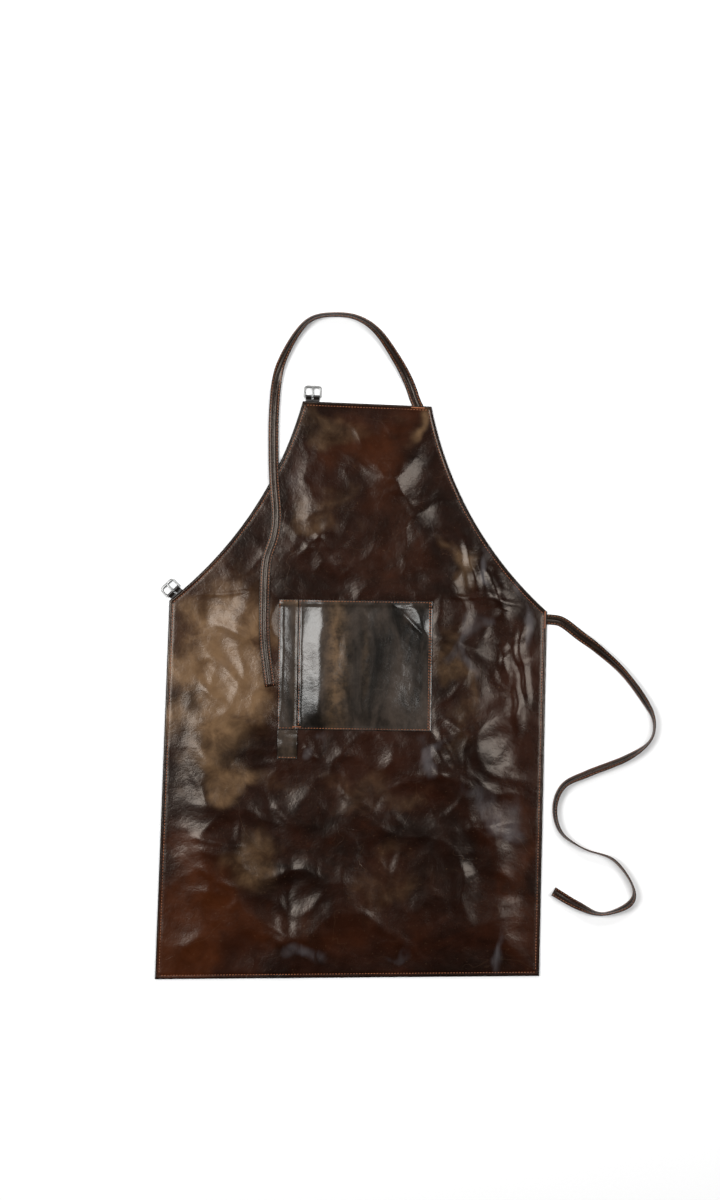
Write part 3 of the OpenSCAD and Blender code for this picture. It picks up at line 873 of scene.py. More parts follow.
def body_leather(colours):
    """Waxed pull-up leather: dark brown, tan where it is stretched and partly as painted sheen, red in
    places, with painted grey sheen where gloss would catch the light.
    """
    shader = Shader("Waxed brown leather")
    broad = shader.noise(0.16, 6, 0.62, warp=0.8)
    mottle = shader.noise(0.03, 6, 0.65, warp=0.4)
    speck = shader.noise(0.004, 4, 0.6)
    # Tan: partly the hide's pulled-up colour, partly painted sheen where the leather would catch the light
    tan = (shader.attribute("tan") * (0.3 + 1.2 * mottle)).between(0.08, 0.72)
    red = (shader.attribute("red") * (0.3 + 1.2 * broad)).between(0.15, 0.9)
    # Painted grey sheen, streaked by stretched noise
    grey = (shader.attribute("grey") * (0.1 + 1.7 * shader.noise(0.035, 5, 0.6, (1.6, 0.7, 1), 0.9)))
    base = shader.mix(broad.between(0.32, 0.68), colours.body_dark, colours.body_mid)
    base = shader.mix(red * 0.7, base, colours.body_red)
    base = shader.mix(tan * 0.85, base, colours.body_tan_and_sheen)
    base = shader.multiply(mottle.between(0.75, 0.3) * 0.55, base, (0.35, 0.3, 0.28))
    crease = shader.fine_lines(0.15, 0.008) * shader.noise(0.07, 3).between(0.45, 0.65)
    base = shader.mix(crease * 0.05, base, colours.body_tan_and_sheen)
    base = shader.mix(speck.between(0.62, 0.8) * 0.22, base, colours.body_tan_and_sheen)
    # Mixes in the painted grey sheen
    base = shader.mix(grey.between(0.25, 1.1) * 0.22, base, colours.body_painted_sheen)
    edge = shader.attribute("inward")
    base = shader.mix((1 - edge.between(0.8, 4.2)) * 0.8, base, colours.edge)
    rough = 0.17 + 0.12 * mottle + 0.04 * speck
    normal = grain_normal(shader, 1.0, 1.0)
    normal = shader.bump(crease, 0.00006, 0.8, normal)
    return shader.finish(base, rough, normal, Specular_IOR_Level=0.25, Specular_Tint=WARM_GLOSS)


def pocket_leather(colours):
    """The same hide, darker and greener, rubbed to a higher gloss."""
    shader = Shader("Glossy dark leather")
    broad = shader.noise(0.07, 5, 0.6, (1.6, 0.5, 1), 0.7)
    mottle = shader.noise(0.016, 6, 0.65)
    base = shader.mix(broad.between(0.35, 0.68), colours.pocket_dark, colours.pocket_light)
    # Tan bands down the pocket: partly colour, partly painted sheen beside its folds
    base = shader.mix(shader.attribute("tan") * mottle.between(0.2, 0.7) * 0.7, base, colours.body_tan_and_sheen)
    base = shader.multiply(mottle.between(0.7, 0.3) * 0.5, base, (0.4, 0.38, 0.36))
    crease = shader.fine_lines(0.04, 0.014) * shader.noise(0.03, 3).between(0.5, 0.68)
    base = shader.mix(crease * 0.3, base, colours.pocket_light)
    edge = shader.attribute("inward")
    base = shader.mix((1 - edge.between(0.3, 1.4)) * 0.6, base, colours.edge)
    rough = 0.16 + 0.12 * mottle
    normal = grain_normal(shader, 0.9, 0.8)
    return shader.finish(base, rough, normal, Specular_IOR_Level=0.36, Specular_Tint=COOL_GLOSS)


def strap_leather(colours):
    """Narrow folded strap, dark along its rims and in the fold."""
    shader = Shader("Strap leather")
    mottle = shader.noise(0.012, 5, 0.6)
    broad = shader.noise(0.05, 4)
    base = shader.mix(broad.between(0.4, 0.8) * 0.6, colours.strap, colours.body_mid)
    base = shader.mix(mottle.between(0.55, 0.85) * 0.15, base, colours.body_tan_and_sheen)
    rim = shader.attribute("rim")
    dark = rim.between(0.86, 0.99) + (1 - rim.between(0.03, 0.12)) * shader.attribute("face_side")
    base = shader.mix(dark * 0.8, base, colours.edge)
    rough = 0.2 + 0.14 * mottle
    return shader.finish(base, rough, grain_normal(shader, 0.6, 0.6), Specular_IOR_Level=0.27,
                         Specular_Tint=WARM_GLOSS)


def tab_leather(colours):
    """Black-brown buckle tab with a high polish."""
    shader = Shader("Tab leather")
    mottle = shader.noise(0.008, 5, 0.6)
    base = shader.mix(mottle, colours.edge, colours.strap)
    return shader.finish(base, 0.22 + 0.2 * mottle, grain_normal(shader, 0.6, 0.5),
                         Specular_IOR_Level=0.65, Coat_Weight=0.3, Coat_Roughness=0.15)


def flesh_side(colours):
    """The napped suede back of the hide."""
    shader = Shader("Suede back")
    nap = shader.noise(0.0012, 4, 0.7, (1, 2.4, 1))
    broad = shader.noise(0.06, 5)
    base = shader.mix(broad.between(0.3, 0.7), colours.suede, colours.body_mid)
    base = shader.multiply(nap.between(0.7, 0.3) * 0.5, base, (0.5, 0.45, 0.42))
    normal = shader.bump(nap, 0.0005, 0.9)
    return shader.finish(base, 0.82 + 0.1 * nap, normal, Specular_IOR_Level=0.25, Sheen_Weight=0.25,
                         Sheen_Roughness=0.5)


def waxed_thread(colours):
    """Orange waxed thread, darker where it is worn, with fine fibre bumps."""
    shader = Shader("Waxed thread")
    dirt = shader.noise(0.03, 4)
    fibre = shader.noise(0.0009, 3, 0.6, (1, 1, 1), 0.5)
    base = shader.mix(dirt.between(0.35, 0.7), colours.thread, colours.thread_dark)
    base = shader.multiply(fibre.between(0.6, 0.3) * 0.5, base, (0.5, 0.42, 0.38))
    normal = shader.bump(fibre, 0.00025, 0.8)
    return shader.finish(base, 0.48 + 0.2 * fibre, normal, Specular_IOR_Level=0.45)


def nickel_plate(colours):
    """Nickel plate with fine handling scratches and dull spots."""
    shader = Shader("Nickel plate")
    cloud = shader.noise(0.006, 4)
    scratch = shader.noise(0.0006, 3, 0.7, (1, 14, 1))
    base = shader.mix(cloud.between(0.4, 0.75) * 0.5, colours.nickel, colours.nickel_dull)
    rough = 0.24 + 0.16 * cloud + 0.08 * scratch
    normal = shader.bump(scratch, 0.00003, 0.6)
    return shader.finish(base, rough, normal, Metallic=1.0)


def paper_floor():
    shader = Shader("Pale paper")
    tooth = shader.noise(0.004, 4)
    base = shader.mix(tooth, (0.86, 0.86, 0.86), (0.89, 0.89, 0.89))
    return shader.finish(base, 0.75 + 0.15 * tooth, None, Specular_IOR_Level=0.2)


MAKERS = {
    "body": body_leather,
    "pocket": pocket_leather,
    "strap": strap_leather,
    "tab": tab_leather,
    "suede": flesh_side,
    "thread": waxed_thread,
    "nickel": nickel_plate,
}
made_materials = {}


def material(name):
    """A material by its short name, made once."""
    if name not in made_materials:
        made_materials[name] = MAKERS[name](bpy.context.scene.apron_colours)
    return made_materials[name]


# ------------------------------------------------------------------ settings


def size_mm(name, description, default):
    return FloatProperty(name=name, description=description, default=default, min=0.0)


def colour(name, description, default):
    return FloatVectorProperty(name=name, description=description, default=default,
                               subtype="COLOR", size=3, min=0.0, max=1.0)


class ApronSizes(bpy.types.PropertyGroup):
    """Sizes of the sewing and of the lie of the hide, in millimetres."""

    stitch_pitch: size_mm("Stitch pitch", "From one stitch to the next, in mm", 4.6)
    stitch_length: size_mm("Stitch length", "Length of one stitch, in mm", 2.9)
    stitch_width: size_mm("Stitch width", "Width of the thread, in mm", 1.0)
    wave_height: size_mm("Wave height", "Height of the hide's waves, in mm", 3.2)
    body_pitch: size_mm("Body mesh", "Distance between the body mesh's places, in mm", 3.2)
    patch_pitch: size_mm("Patch mesh", "Distance between a patch mesh's places, in mm", 2.4)


class ApronColours(bpy.types.PropertyGroup):
    """Colours of the hide, the thread and the metal."""

    body_dark: colour("Body dark", "The hide at its darkest", (0.0060, 0.0019, 0.0010))
    body_mid: colour("Body brown", "The hide's common brown", (0.0220, 0.0058, 0.0024))
    body_tan_and_sheen: colour("Body tan", "The hide where it is stretched", (0.17, 0.1, 0.05))
    # Tan of the pulled-up hide, also used for painted sheen
    body_red: colour("Body red", "The hide's red cast", (0.056, 0.0135, 0.003))
    # Painted sheen: a light grey that stands in for gloss catching the light
    body_painted_sheen: colour("Body grey", "Wax that has worn grey", (0.2, 0.19, 0.2))
    pocket_dark: colour("Pocket dark", "The pocket at its darkest", (0.0068, 0.0056, 0.0044))
    pocket_light: colour("Pocket light", "The pocket at its lightest", (0.047, 0.035, 0.0275))
    strap: colour("Strap", "The ties", (0.010, 0.0055, 0.0035))
    edge: colour("Edge", "Turned and cut edges", (0.004, 0.0025, 0.002))
    suede: colour("Suede", "The back of the hide", (0.16, 0.09, 0.055))
    thread: colour("Thread", "The thread where it is clean", (0.36, 0.12, 0.045))
    thread_dark: colour("Thread, worn", "The thread where it is worn", (0.15, 0.052, 0.024))
    nickel: colour("Nickel", "The buckles", (0.26, 0.26, 0.255))
    nickel_dull: colour("Nickel, dull", "The buckles' dull spots", (0.1, 0.1, 0.098))


# ------------------------------------------------------------------ operators


class ApronOperator(bpy.types.Operator):
    """What the apron's operators share."""

    bl_options = {"REGISTER", "UNDO"}

    def execute(self, context):
        self.build(context.scene.apron_sizes)
        return {"FINISHED"}


class APRON_OT_stage(ApronOperator):
    """Floor, soft light and the camera straight above the apron"""

    bl_idname = "apron.stage"
    bl_label = "Stage and camera"

    def build(self, sizes):
        scene = bpy.context.scene
        camera = bpy.data.objects.new("Camera", bpy.data.cameras.new("Camera"))
        camera.data.lens = CAMERA_LENS
        camera.data.sensor_width = 36
        camera.location = CAMERA_PLACE
        scene.collection.objects.link(camera)
        scene.camera = camera

        span = np.linspace(-FLOOR_HALF, FLOOR_HALF, 7) / MM
        x, y = np.meshgrid(span, span)
        count = len(span)
        places = np.stack((x.ravel(), y.ravel(), np.full(x.size, FLOOR_Z)), axis=1)
        faces = []
        for j in range(count - 1):
            for i in range(count - 1):
                a = j * count + i
                faces.append((a, a + 1, a + count + 1, a + count))
        floor = bpy.data.objects.new("Floor", new_mesh("Floor", places, faces))
        floor.data.materials.append(paper_floor())
        scene.collection.objects.link(floor)

        for name, at, size, power in LIGHTS:
            data = bpy.data.lights.new(name, "AREA")
            data.shape = "RECTANGLE"
            data.size, data.size_y = size
            data.energy = power
            light = bpy.data.objects.new(name, data)
            light.location = at
            aim = Vector((0, 0, 0)) - Vector(at)
            light.rotation_euler = aim.to_track_quat("-Z", "Y").to_euler()
            scene.collection.objects.link(light)

        world = bpy.data.worlds.new("Studio")
        world.use_nodes = True
        world.node_tree.nodes["Background"].inputs["Color"].default_value = (1, 1, 1, 1)
        world.node_tree.nodes["Background"].inputs["Strength"].default_value = WORLD_STRENGTH
        scene.world = world
        scene.view_settings.view_transform = "Standard"


class APRON_OT_ties(ApronOperator):
    """The neck tie and the waist tie with their stitching"""

    bl_idname = "apron.ties"
    bl_label = "Ties"

    def build(self, sizes):
        self.tie("Neck_tie", "neck_tie", NECK_TIE_PLACE, NECK_ROUTE, 0.86, sizes)
        self.tie("Waist_tie", "waist_tie", WAIST_TIE_PLACE, WAIST_ROUTE, 0.83, sizes)

    def tie(self, name, node, place, route, length, sizes):
        centres, across, up = tie_frames(place, route, sizes.wave_height)
        strap = new_piece(name, sweep(name, centres, across, up, TIE_SECTION),
                          [material("strap")], [node])
        verts, faces = [], []
        for side in (-1, 1):
            for face, height in ((1, 0.62), (-1, 0.64)):
                line = centres + side * TIE_STITCH_AT * across + face * height * up
                add_row(verts, faces, line, face * up, sizes, side + 3 * face)
        thread = new_piece(name + "_thread", new_mesh(name + "_thread", verts, faces),
                           [material("thread")], ())


class APRON_OT_body(ApronOperator):
    """The body panel with its turned edge, and the row of stitches round it"""

    bl_idname = "apron.body"
    bl_label = "Body"

    def build(self, sizes):
        x, y = body_grid(sizes.body_pitch)
        inward = np.maximum(edge_distance(x, y), 0)
        raised = lift(x, y, sizes.wave_height)
        top = body_top(x, y, sizes.wave_height)
        turned = 1 - smooth_step(inward, HEM_TURN - 0.5, HEM_TURN + 1.5)
        roots = root_mask(x, y, NECK_TIE_PLACE, TIE_W, TIE_ROOT)
        roots |= root_mask(x, y, WAIST_TIE_PLACE, TIE_W, TIE_ROOT)
        roots |= root_mask(x, y, NECK_TAB_PLACE, TAB_W, TAB_ROOT)
        roots |= root_mask(x, y, WAIST_TAB_PLACE, TAB_W, TAB_ROOT)
        turned = np.where(roots & (inward > 1.0), 0, turned)
        thick = LEATHER_T * (1 + turned)
        bottom = 2 * LEATHER_T + raised - thick + turned * edge_round(inward)
        bottom = np.where(inward > 2, np.maximum(bottom, 0.02), bottom)
        attributes = {
            "inward": inward,
            # Tan mask: partly pulled-up colour, partly painted sheen
            "tan": patches(x, y, TAN_AND_SHEEN_PATCHES),
            "red": patches(x, y, RED_PATCHES),
            # Mask of painted grey sheen
            "grey": patches(x, y, PAINTED_SHEEN_PATCHES),
        }
        mesh, under = shell("Body", x, y, top, bottom, attributes)
        piece = new_piece("Body", mesh, [material("body"), material("suede")],
                          ["body_panel"])
        middles = np.zeros(len(mesh.polygons) * 3)
        mesh.polygons.foreach_get("center", middles)
        middles = middles.reshape(-1, 3) / MM
        napped = np.array(under, bool) & (edge_distance(middles[:, 0], middles[:, 1]) > HEM_TURN + 1)
        mesh.polygons.foreach_set("material_index", napped.astype(np.int32))
        thread = self.edge_row(sizes)

    def edge_row(self, sizes):
        """Stitches round the whole edge, one row set in from it."""
        def height(x, y):
            return body_top(x, y, sizes.wave_height)

        verts, faces = [], []
        for k, line in enumerate(inset_outline(EDGE_ROW)):
            points, ups = on_surface(line, height)
            add_row(verts, faces, points, ups, sizes, 20 + k)
        return new_piece("Edge_thread", new_mesh("Edge_thread", verts, faces),
                         [material("thread")], ["edge_stitching"])


def inset_outline(inset):
    """The body's six sides, set in from the edge."""
    sides = []
    for side in ("left", "right"):
        for first, last in ((0.0, 1.0), (1.0, 2.0)):
            line = []
            for s in np.linspace(first, last, 120):
                place = side_point(side, s)
                ahead = side_point(side, min(s + 1e-3, last))
                behind = side_point(side, max(s - 1e-3, first))
                inwards = left_of(unit(ahead - behind)) * (-1 if side == "left" else 1)
                line.append(place + inset * inwards)
            sides.append(np.array(line))
    for start, end in ((HEM_LEFT, HEM_RIGHT), (BIB_RIGHT, BIB_LEFT)):
        inwards = left_of(unit(end - start))
        sides.append(plan_line(start + inset * inwards, end + inset * inwards))
    kept = []
    for line in sides:
        inward = edge_distance(line[:, 0], line[:, 1])
        kept.append(line[inward > inset - 0.2])
    return kept


class APRON_OT_patches(ApronOperator):
    """The pocket, the pen sleeve and the towel loop with their stitching"""

    bl_idname = "apron.patches"
    bl_label = "Pocket, sleeve and loop"

    def build(self, sizes):
        self.wave_height = sizes.wave_height
        pocket = self.patch("Pocket", "pocket_panel", SLEEVE_W - PATCH_W / 2, POCKET_W,
                            pocket_off, sizes)
        sleeve = self.patch("Pen_sleeve", "pen_sleeve", -PATCH_W / 2, SLEEVE_W - SEAM_GAP,
                            sleeve_off, sizes)
        loop = self.loop()
        rows = self.rows(sizes)
        tack = self.tack()
        loop_row = self.loop_row(sizes)

    def under(self, u, v):
        """The body's grain side below a place in the pocket's frame."""
        x, y = pocket_place(u, v)
        return body_top(x, y, self.wave_height) + 0.1

    def patch(self, name, node, left, width, off, sizes):
        u, v = patch_grid(width, POCKET_H, sizes.patch_pitch)
        inward = np.minimum.reduce((u, width - u, v, POCKET_H - v))
        half = POCKET_T / 2
        dent = 0.35 * np.exp(-((np.minimum(np.minimum(u, width - u), v) - 2.5) / 0.8) ** 2)
        bottom = self.under(u + left, v) + off(u, v)
        top = bottom + POCKET_T + turned_top(v) - dent - cut_round(inward, half)
        bottom = bottom + cut_round(inward, half)
        x, y = pocket_place(u + left, v)
        # Tan bands: partly colour, partly painted sheen beside the pocket's folds
        tan = patch(u, v, 60, 112, 15, 105, 0, 1.0) + patch(u, v, 106, 110, 6, 60, 0, 0.25)
        if width < 100:
            tan = 0.5 * smooth_step(v, POCKET_H - 12, POCKET_H - 4) + patch(u, v, width, 110, 5, 200, 0, 0.5)
        mesh, under = shell(name, x, y, top, bottom, {"inward": inward, "tan": tan})
        mesh.polygons.foreach_set("material_index", under)
        return new_piece(name, mesh, [material("pocket"), material("suede")],
                         [node])

    def loop(self):
        """An arched strip that is sewn down at both ends."""
        width = SLEEVE_W + 1
        u, v = patch_grid(width, LOOP_H, 1.6)
        inward = np.minimum.reduce((u, width - u, v, LOOP_H - v))
        half_span = LOOP_H / 2 - 5
        rise = 3.4 * np.maximum(0, 1 - ((v - LOOP_H / 2) / half_span) ** 2) ** 1.3
        rise *= 0.85 + 0.3 * u / width
        left, low = -PATCH_W / 2, -LOOP_H - SEAM_GAP
        bottom = self.under(u + left, v + low) + rise
        top = bottom + POCKET_T - cut_round(inward, POCKET_T / 2)
        bottom = bottom + cut_round(inward, POCKET_T / 2)
        x, y = pocket_place(u + left, v + low)
        mesh, under = shell("Towel_loop", x, y, top, bottom,
                            {"inward": inward, "tan": 0.15 + 0 * inward})
        mesh.polygons.foreach_set("material_index", under)
        return new_piece("Towel_loop", mesh, [material("pocket"), material("suede")],
                         ["towel_loop"])

    def patch_top(self, off, left):
        """Height of a patch's grain side, from places on the table."""
        def height(x, y):
            u, v = pocket_frame(x, y)
            return self.under(u, v) + off(u - left, v) + POCKET_T + turned_top(v) - 0.2

        return height

    def rows(self, sizes):
        """The rows round the pocket and the sleeve, double down the pocket's right side."""
        inset = 2.5
        left, right = -PATCH_W / 2 + inset / 2, PATCH_W / 2 - inset
        division = -PATCH_W / 2 + SLEEVE_W + inset
        pocket = self.patch_top(pocket_off, SLEEVE_W - PATCH_W / 2)
        sleeve = self.patch_top(sleeve_off, -PATCH_W / 2)
        lines = (
            ((left, POCKET_H - 1), (left, inset), sleeve),
            ((left, inset), (left + SLEEVE_W - 2 * inset, inset), sleeve),
            ((division, POCKET_H - 1), (division, inset + 4), pocket),
            ((division, inset), (right, inset), pocket),
            ((right, inset), (right, POCKET_H - 1), pocket),
            ((right - 2.6, inset + 2), (right - 2.6, POCKET_H - 1), pocket),
            ((left, POCKET_H - 2), (left + SLEEVE_W - 2 * inset, POCKET_H - 2), sleeve),
            ((division, POCKET_H - 2), (right, POCKET_H - 2), pocket),
        )
        verts, faces = [], []
        for k, (start, end, height) in enumerate(lines):
            line = plan_line(pocket_place(*start), pocket_place(*end))
            points, ups = on_surface(line, height)
            add_row(verts, faces, points, ups, sizes, 60 + k)
        return new_piece("Pocket_thread", new_mesh("Pocket_thread", verts, faces),
                         [material("thread")], ["pocket_stitching"])

    def tack(self):
        verts, faces = [], []
        height = self.patch_top(pocket_off, SLEEVE_W - PATCH_W / 2)
        middle = SLEEVE_W - PATCH_W / 2
        bar_tack(verts, faces, pocket_place(middle - 6.5, 4.4), pocket_place(middle + 6.5, 4.4),
                 height)
        return new_piece("Sleeve_tack", new_mesh("Sleeve_tack", verts, faces),
                         [material("thread")], ["sleeve_bar_tack"])

    def loop_row(self, sizes):
        def height(x, y):
            return body_top(x, y, self.wave_height) + POCKET_T + 0.05

        left = -PATCH_W / 2
        v = 2.5 - LOOP_H
        line = plan_line(pocket_place(left + 1.5, v), pocket_place(left + SLEEVE_W - 0.5, v))
        points, ups = on_surface(line, height)
        verts, faces = [], []
        add_row(verts, faces, points, ups, sizes, 71)
        return new_piece("Loop_thread", new_mesh("Loop_thread", verts, faces),
                         [material("thread")], ["loop_stitching"])


class APRON_OT_tacks(ApronOperator):
    """The bar tacks that hold the roots of the ties"""

    bl_idname = "apron.tacks"
    bl_label = "Tie tacks"

    def build(self, sizes):
        def height(x, y):
            return body_top(x, y, sizes.wave_height)

        bib = heading(BIB_TILT)
        side = unit(HEM_RIGHT - WAIST_RIGHT)
        places = (
            ("Neck_tack", "neck_tie_bar_tack", NECK_TIE_PLACE[0], bib, 10),
            ("Waist_tack", "waist_tie_bar_tack", WAIST_TIE_PLACE[0], side, 13),
        )
        for name, node, place, along, half in places:
            inwards = -left_of(along)
            middle = place + 3.0 * inwards
            verts, faces = [], []
            bar_tack(verts, faces, middle - half * along, middle + half * along, height)
            new_piece(name, new_mesh(name, verts, faces), [material("thread")], [node])


def tab_path():
    """The middle line of a tab's strip, in its own frame: along and up, with the way it faces."""
    back = -(TAB_REACH + TAB_ROOT)
    low = TAB_T / 2
    fold = FOLD_R + TAB_T / 2
    path = [(y, low) for y in np.linspace(back, -1.5, 12)]
    for angle in np.linspace(-90, 90, 13):
        path.append((fold * math.cos(math.radians(angle)), BAR_Z + fold * math.sin(math.radians(angle))))
    for share in np.linspace(0.12, 1, 8):
        drop = float(smooth_step(share, 0, 1))
        path.append((-5.2 * share, BAR_Z + fold - drop * (BAR_Z + fold - 3 * low)))
    path += [(y, 3 * low) for y in np.linspace(-7, back, 10)]
    return np.array(path)


def tab_mesh(name, place):
    """A strip folded round the bar, with a slot in the fold."""
    path = tab_path()
    tangent = np.gradient(path, axis=0)
    tangent /= np.linalg.norm(tangent, axis=1)[:, None]
    facing = np.stack((tangent[:, 1], -tangent[:, 0]), axis=1)
    half_w, slot = TAB_W / 2, 1.6
    columns = np.array((-half_w, -half_w + 0.15, -half_w + 0.5, -half_w + 1.4, -6, -slot - 0.4, -slot,
                        slot, slot + 0.4, 6, half_w - 1.4, half_w - 0.5, half_w - 0.15, half_w))
    near_side = np.clip((half_w - np.abs(columns)) / 0.5, 0, 1)
    thin = np.sqrt(np.clip(1 - (1 - near_side) ** 2, 0.02, 1))
    rows, count = len(path), len(columns)
    origin = place[0] + TAB_REACH * heading(place[1])
    ahead = heading(place[1])
    across = -left_of(ahead)
    verts = []
    for sign in (1, -1):
        for (along, z), (face_y, face_z) in zip(path, facing):
            for column, share in zip(columns, thin):
                reach = along + sign * face_y * share * TAB_T / 2
                up = z + sign * face_z * share * TAB_T / 2
                spot = origin + reach * ahead + column * across
                verts.append((spot[0], spot[1], up))
    total = rows * count
    gap = count // 2 - 1
    slot_rows = [r for r in range(rows) if path[r][0] > -5.4 and r < rows - 10]
    first, last = min(slot_rows), max(slot_rows)
    faces = []
    for r in range(rows - 1):
        for c in range(count - 1):
            if c == gap and first <= r < last:
                continue
            a = r * count + c
            faces.append((a, a + 1, a + count + 1, a + count))
            faces.append((a + total, a + total + count, a + total + count + 1, a + total + 1))
    for r in range(rows - 1):
        a, b = r * count, r * count + count - 1
        faces.append((a, a + count, a + count + total, a + total))
        faces.append((b, b + total, b + count + total, b + count))
    for c in range(count - 1):
        a, b = c, (rows - 1) * count + c
        faces.append((a, a + total, a + 1 + total, a + 1))
        faces.append((b, b + 1, b + 1 + total, b + total))
    for r in range(first, last):
        a, b = r * count + gap, r * count + gap + 1
        faces.append((a, a + total, a + count + total, a + count))
        faces.append((b, b + count, b + count + total, b + total))
    for r in (first, last):
        a = r * count + gap
        faces.append((a, a + 1, a + 1 + total, a + total))
    return face_outwards(new_mesh(name, verts, faces))


BUCKLE_LEN = 17.0
FRAME_T = 2.6
BAR_R = 1.25
RAIL_AT = 12.35
DROOP = math.asin((BAR_Z - FRAME_T / 2) / BUCKLE_LEN)

# Half of a frame's middle line, from the bar's end round to the middle of the outer bar:
# across, ahead and width
FRAME_HALF = (
    (RAIL_AT, -1.9, 1.5), (RAIL_AT, -1.4, 2.2), (RAIL_AT, 0.0, 2.6), (RAIL_AT, 2.5, 2.3),
    (RAIL_AT, 6.0, 2.2), (RAIL_AT, 9.6, 2.3), (RAIL_AT - 0.2, 11.6, 2.7),
    (RAIL_AT - 0.9, 13.2, 3.3), (RAIL_AT - 2.2, 14.3, 4.0), (RAIL_AT - 4.0, 14.75, 4.3),
    (5.0, 14.8, 4.4), (2.0, 14.8, 4.2), (0.0, 14.8, 4.1),
)


def in_buckle(place, spots):
    """From a buckle's own frame, the bar at the origin, to the table's. It droops to the table."""
    spots = np.asarray(spots, float)
    ahead = heading(place[1])
    across = -left_of(ahead)
    c, s = math.cos(DROOP), math.sin(DROOP)
    forward = spots[:, 1] * c + spots[:, 2] * s + TAB_REACH
    plan = place[0] + spots[:, :1] * across + forward[:, None] * ahead
    up = BAR_Z - spots[:, 1] * s + spots[:, 2] * c
    return np.column_stack((plan, up))


def loft(verts, faces, centres, sides, ups, widths, heights, squareness=0.7, count=16):
    """Adds a rod whose rounded section changes along its middle line."""
    base = len(verts)
    turns = np.linspace(0, 2 * math.pi, count, endpoint=False)
    out = np.sign(np.cos(turns)) * np.abs(np.cos(turns)) ** squareness / 2
    high = np.sign(np.sin(turns)) * np.abs(np.sin(turns)) ** squareness / 2
    for centre, side, up, width, height in zip(centres, sides, ups, widths, heights):
        for a, b in zip(out, high):
            verts.append(centre + a * width * side + b * height * up)
    for r in range(len(centres) - 1):
        for k in range(count):
            a, b = base + r * count + k, base + r * count + (k + 1) % count
            faces.append((a, b, b + count, a + count))
    last = base + (len(centres) - 1) * count
    faces.append([base + k for k in range(count - 1, -1, -1)])
    faces.append([last + k for k in range(count)])


def frame_mesh(name, place):
    """A rounded buckle frame with a broad outer bar, and its inner bar."""
    half = np.array(FRAME_HALF)
    line = np.concatenate((half * (-1, 1, 1), half[-2::-1]))
    marks = np.linspace(0, len(line) - 1, 4 * len(line))
    line = np.column_stack([np.interp(marks, np.arange(len(line)), line[:, k]) for k in range(3)])
    tangent = np.gradient(line[:, :2], axis=0)
    tangent /= np.linalg.norm(tangent, axis=1)[:, None]
    sides = np.column_stack((tangent[:, 1], -tangent[:, 0], np.zeros(len(line))))
    ups = np.tile((0.0, 0.0, 1.0), (len(line), 1))
    centres = np.column_stack((line[:, :2], np.zeros(len(line))))
    heights = np.full(len(line), FRAME_T - 0.2)
    heights[[0, -1]] = 1.4
    verts, faces = [], []
    loft(verts, faces, centres, sides, ups, line[:, 2], heights)
    bar = np.array([(x, 0.0, 0.0) for x in np.linspace(-RAIL_AT, RAIL_AT, 9)])
    ahead = np.tile((0.0, -1.0, 0.0), (len(bar), 1))
    round_bar = np.full(len(bar), 2 * BAR_R)
    loft(verts, faces, bar, ahead, ups[:len(bar)], round_bar, round_bar, 1.0)
    return new_mesh(name, in_buckle(place, verts), faces)


def tongue_mesh(name, place):
    """A tongue with its end curled round the bar and its tip on the outer bar."""
    eye = 1.8
    line = [(eye * math.cos(math.radians(a)), eye * math.sin(math.radians(a)), 0.85, 2.6)
            for a in range(-60, -271, -15)]
    line += [(2.0, 1.86, 1.0, 2.6), (4.5, 2.0, 1.25, 2.5), (8.0, 2.15, 1.35, 2.4),
             (11.5, 2.2, 1.3, 2.3), (13.5, 2.05, 1.05, 2.15), (15.2, 1.9, 0.8, 1.9),
             (15.9, 1.82, 0.4, 1.2)]
    line = np.array(line)
    tangent = np.gradient(line[:, :2], axis=0)
    tangent /= np.linalg.norm(tangent, axis=1)[:, None]
    ups = np.column_stack((np.zeros(len(line)), -tangent[:, 1], tangent[:, 0]))
    sides = np.tile((1.0, 0.0, 0.0), (len(line), 1))
    centres = np.column_stack((np.zeros(len(line)), line[:, :2]))
    verts, faces = [], []
    loft(verts, faces, centres, sides, ups, line[:, 3], line[:, 2], 0.75)
    return new_mesh(name, in_buckle(place, verts), faces)


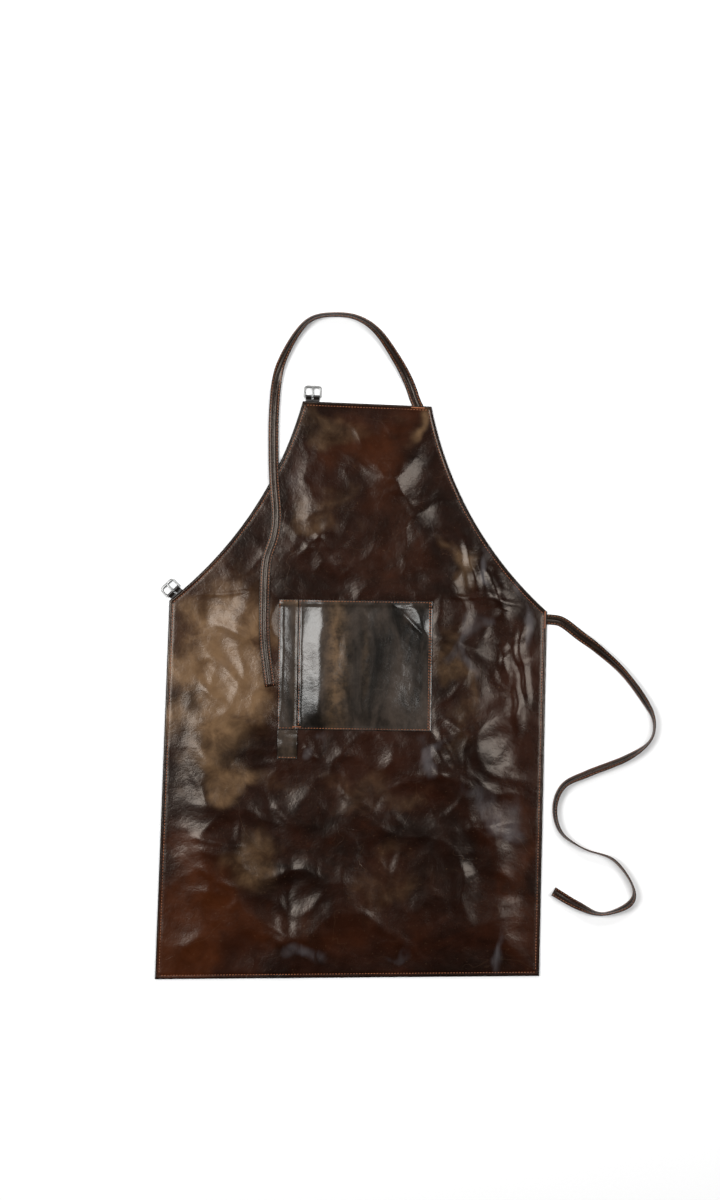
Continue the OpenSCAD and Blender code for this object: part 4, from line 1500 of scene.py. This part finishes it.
def face_outwards(mesh):
    """Turns every face of a closed mesh outwards."""
    shape = bmesh.new()
    shape.from_mesh(mesh)
    bmesh.ops.recalc_face_normals(shape, faces=shape.faces)
    shape.to_mesh(mesh)
    shape.free()
    return mesh


class APRON_OT_buckles(ApronOperator):
    """The buckle tabs, frames and tongues"""

    bl_idname = "apron.buckles"
    bl_label = "Buckles and tabs"

    def build(self, sizes):
        for title, key, place in (("Neck", "neck", NECK_TAB_PLACE),
                                  ("Waist", "waist", WAIST_TAB_PLACE)):
            tab = new_piece(title + "_tab", tab_mesh(title + "_tab", place), [material("tab")],
                            [key + "_buckle_tab"])
            new_piece(title + "_frame", face_outwards(frame_mesh(title + "_frame", place)),
                      [material("nickel")], [key + "_buckle_frame"], key + "_buckle")
            new_piece(title + "_tongue", face_outwards(tongue_mesh(title + "_tongue", place)),
                      [material("nickel")], [key + "_buckle_tongue"], key + "_tongue")


class APRON_PT_sidebar(bpy.types.Panel):
    """Lists the apron's operators and settings."""

    bl_label = "Apron"
    bl_idname = "APRON_PT_sidebar"
    bl_space_type = "VIEW_3D"
    bl_region_type = "UI"
    bl_category = "Apron"

    def draw(self, context):
        for operator in OPERATORS:
            self.layout.operator(operator.bl_idname)
        for group in (context.scene.apron_sizes, context.scene.apron_colours):
            box = self.layout.box()
            for key in group.__annotations__:
                box.prop(group, key)


OPERATORS = (
    APRON_OT_stage, APRON_OT_ties, APRON_OT_body, APRON_OT_patches, APRON_OT_tacks,
    APRON_OT_buckles,
)
CLASSES = (ApronSizes, ApronColours, *OPERATORS, APRON_PT_sidebar)


def register():
    for one in CLASSES:
        bpy.utils.register_class(one)
    bpy.types.Scene.apron_sizes = PointerProperty(type=ApronSizes)
    bpy.types.Scene.apron_colours = PointerProperty(type=ApronColours)


def unregister():
    del bpy.types.Scene.apron_colours
    del bpy.types.Scene.apron_sizes
    for one in reversed(CLASSES):
        bpy.utils.unregister_class(one)


def main():
    register()
    for operator in OPERATORS:
        group, action = operator.bl_idname.split(".")
        getattr(getattr(bpy.ops, group), action)()


if __name__ == "__main__":
    main()
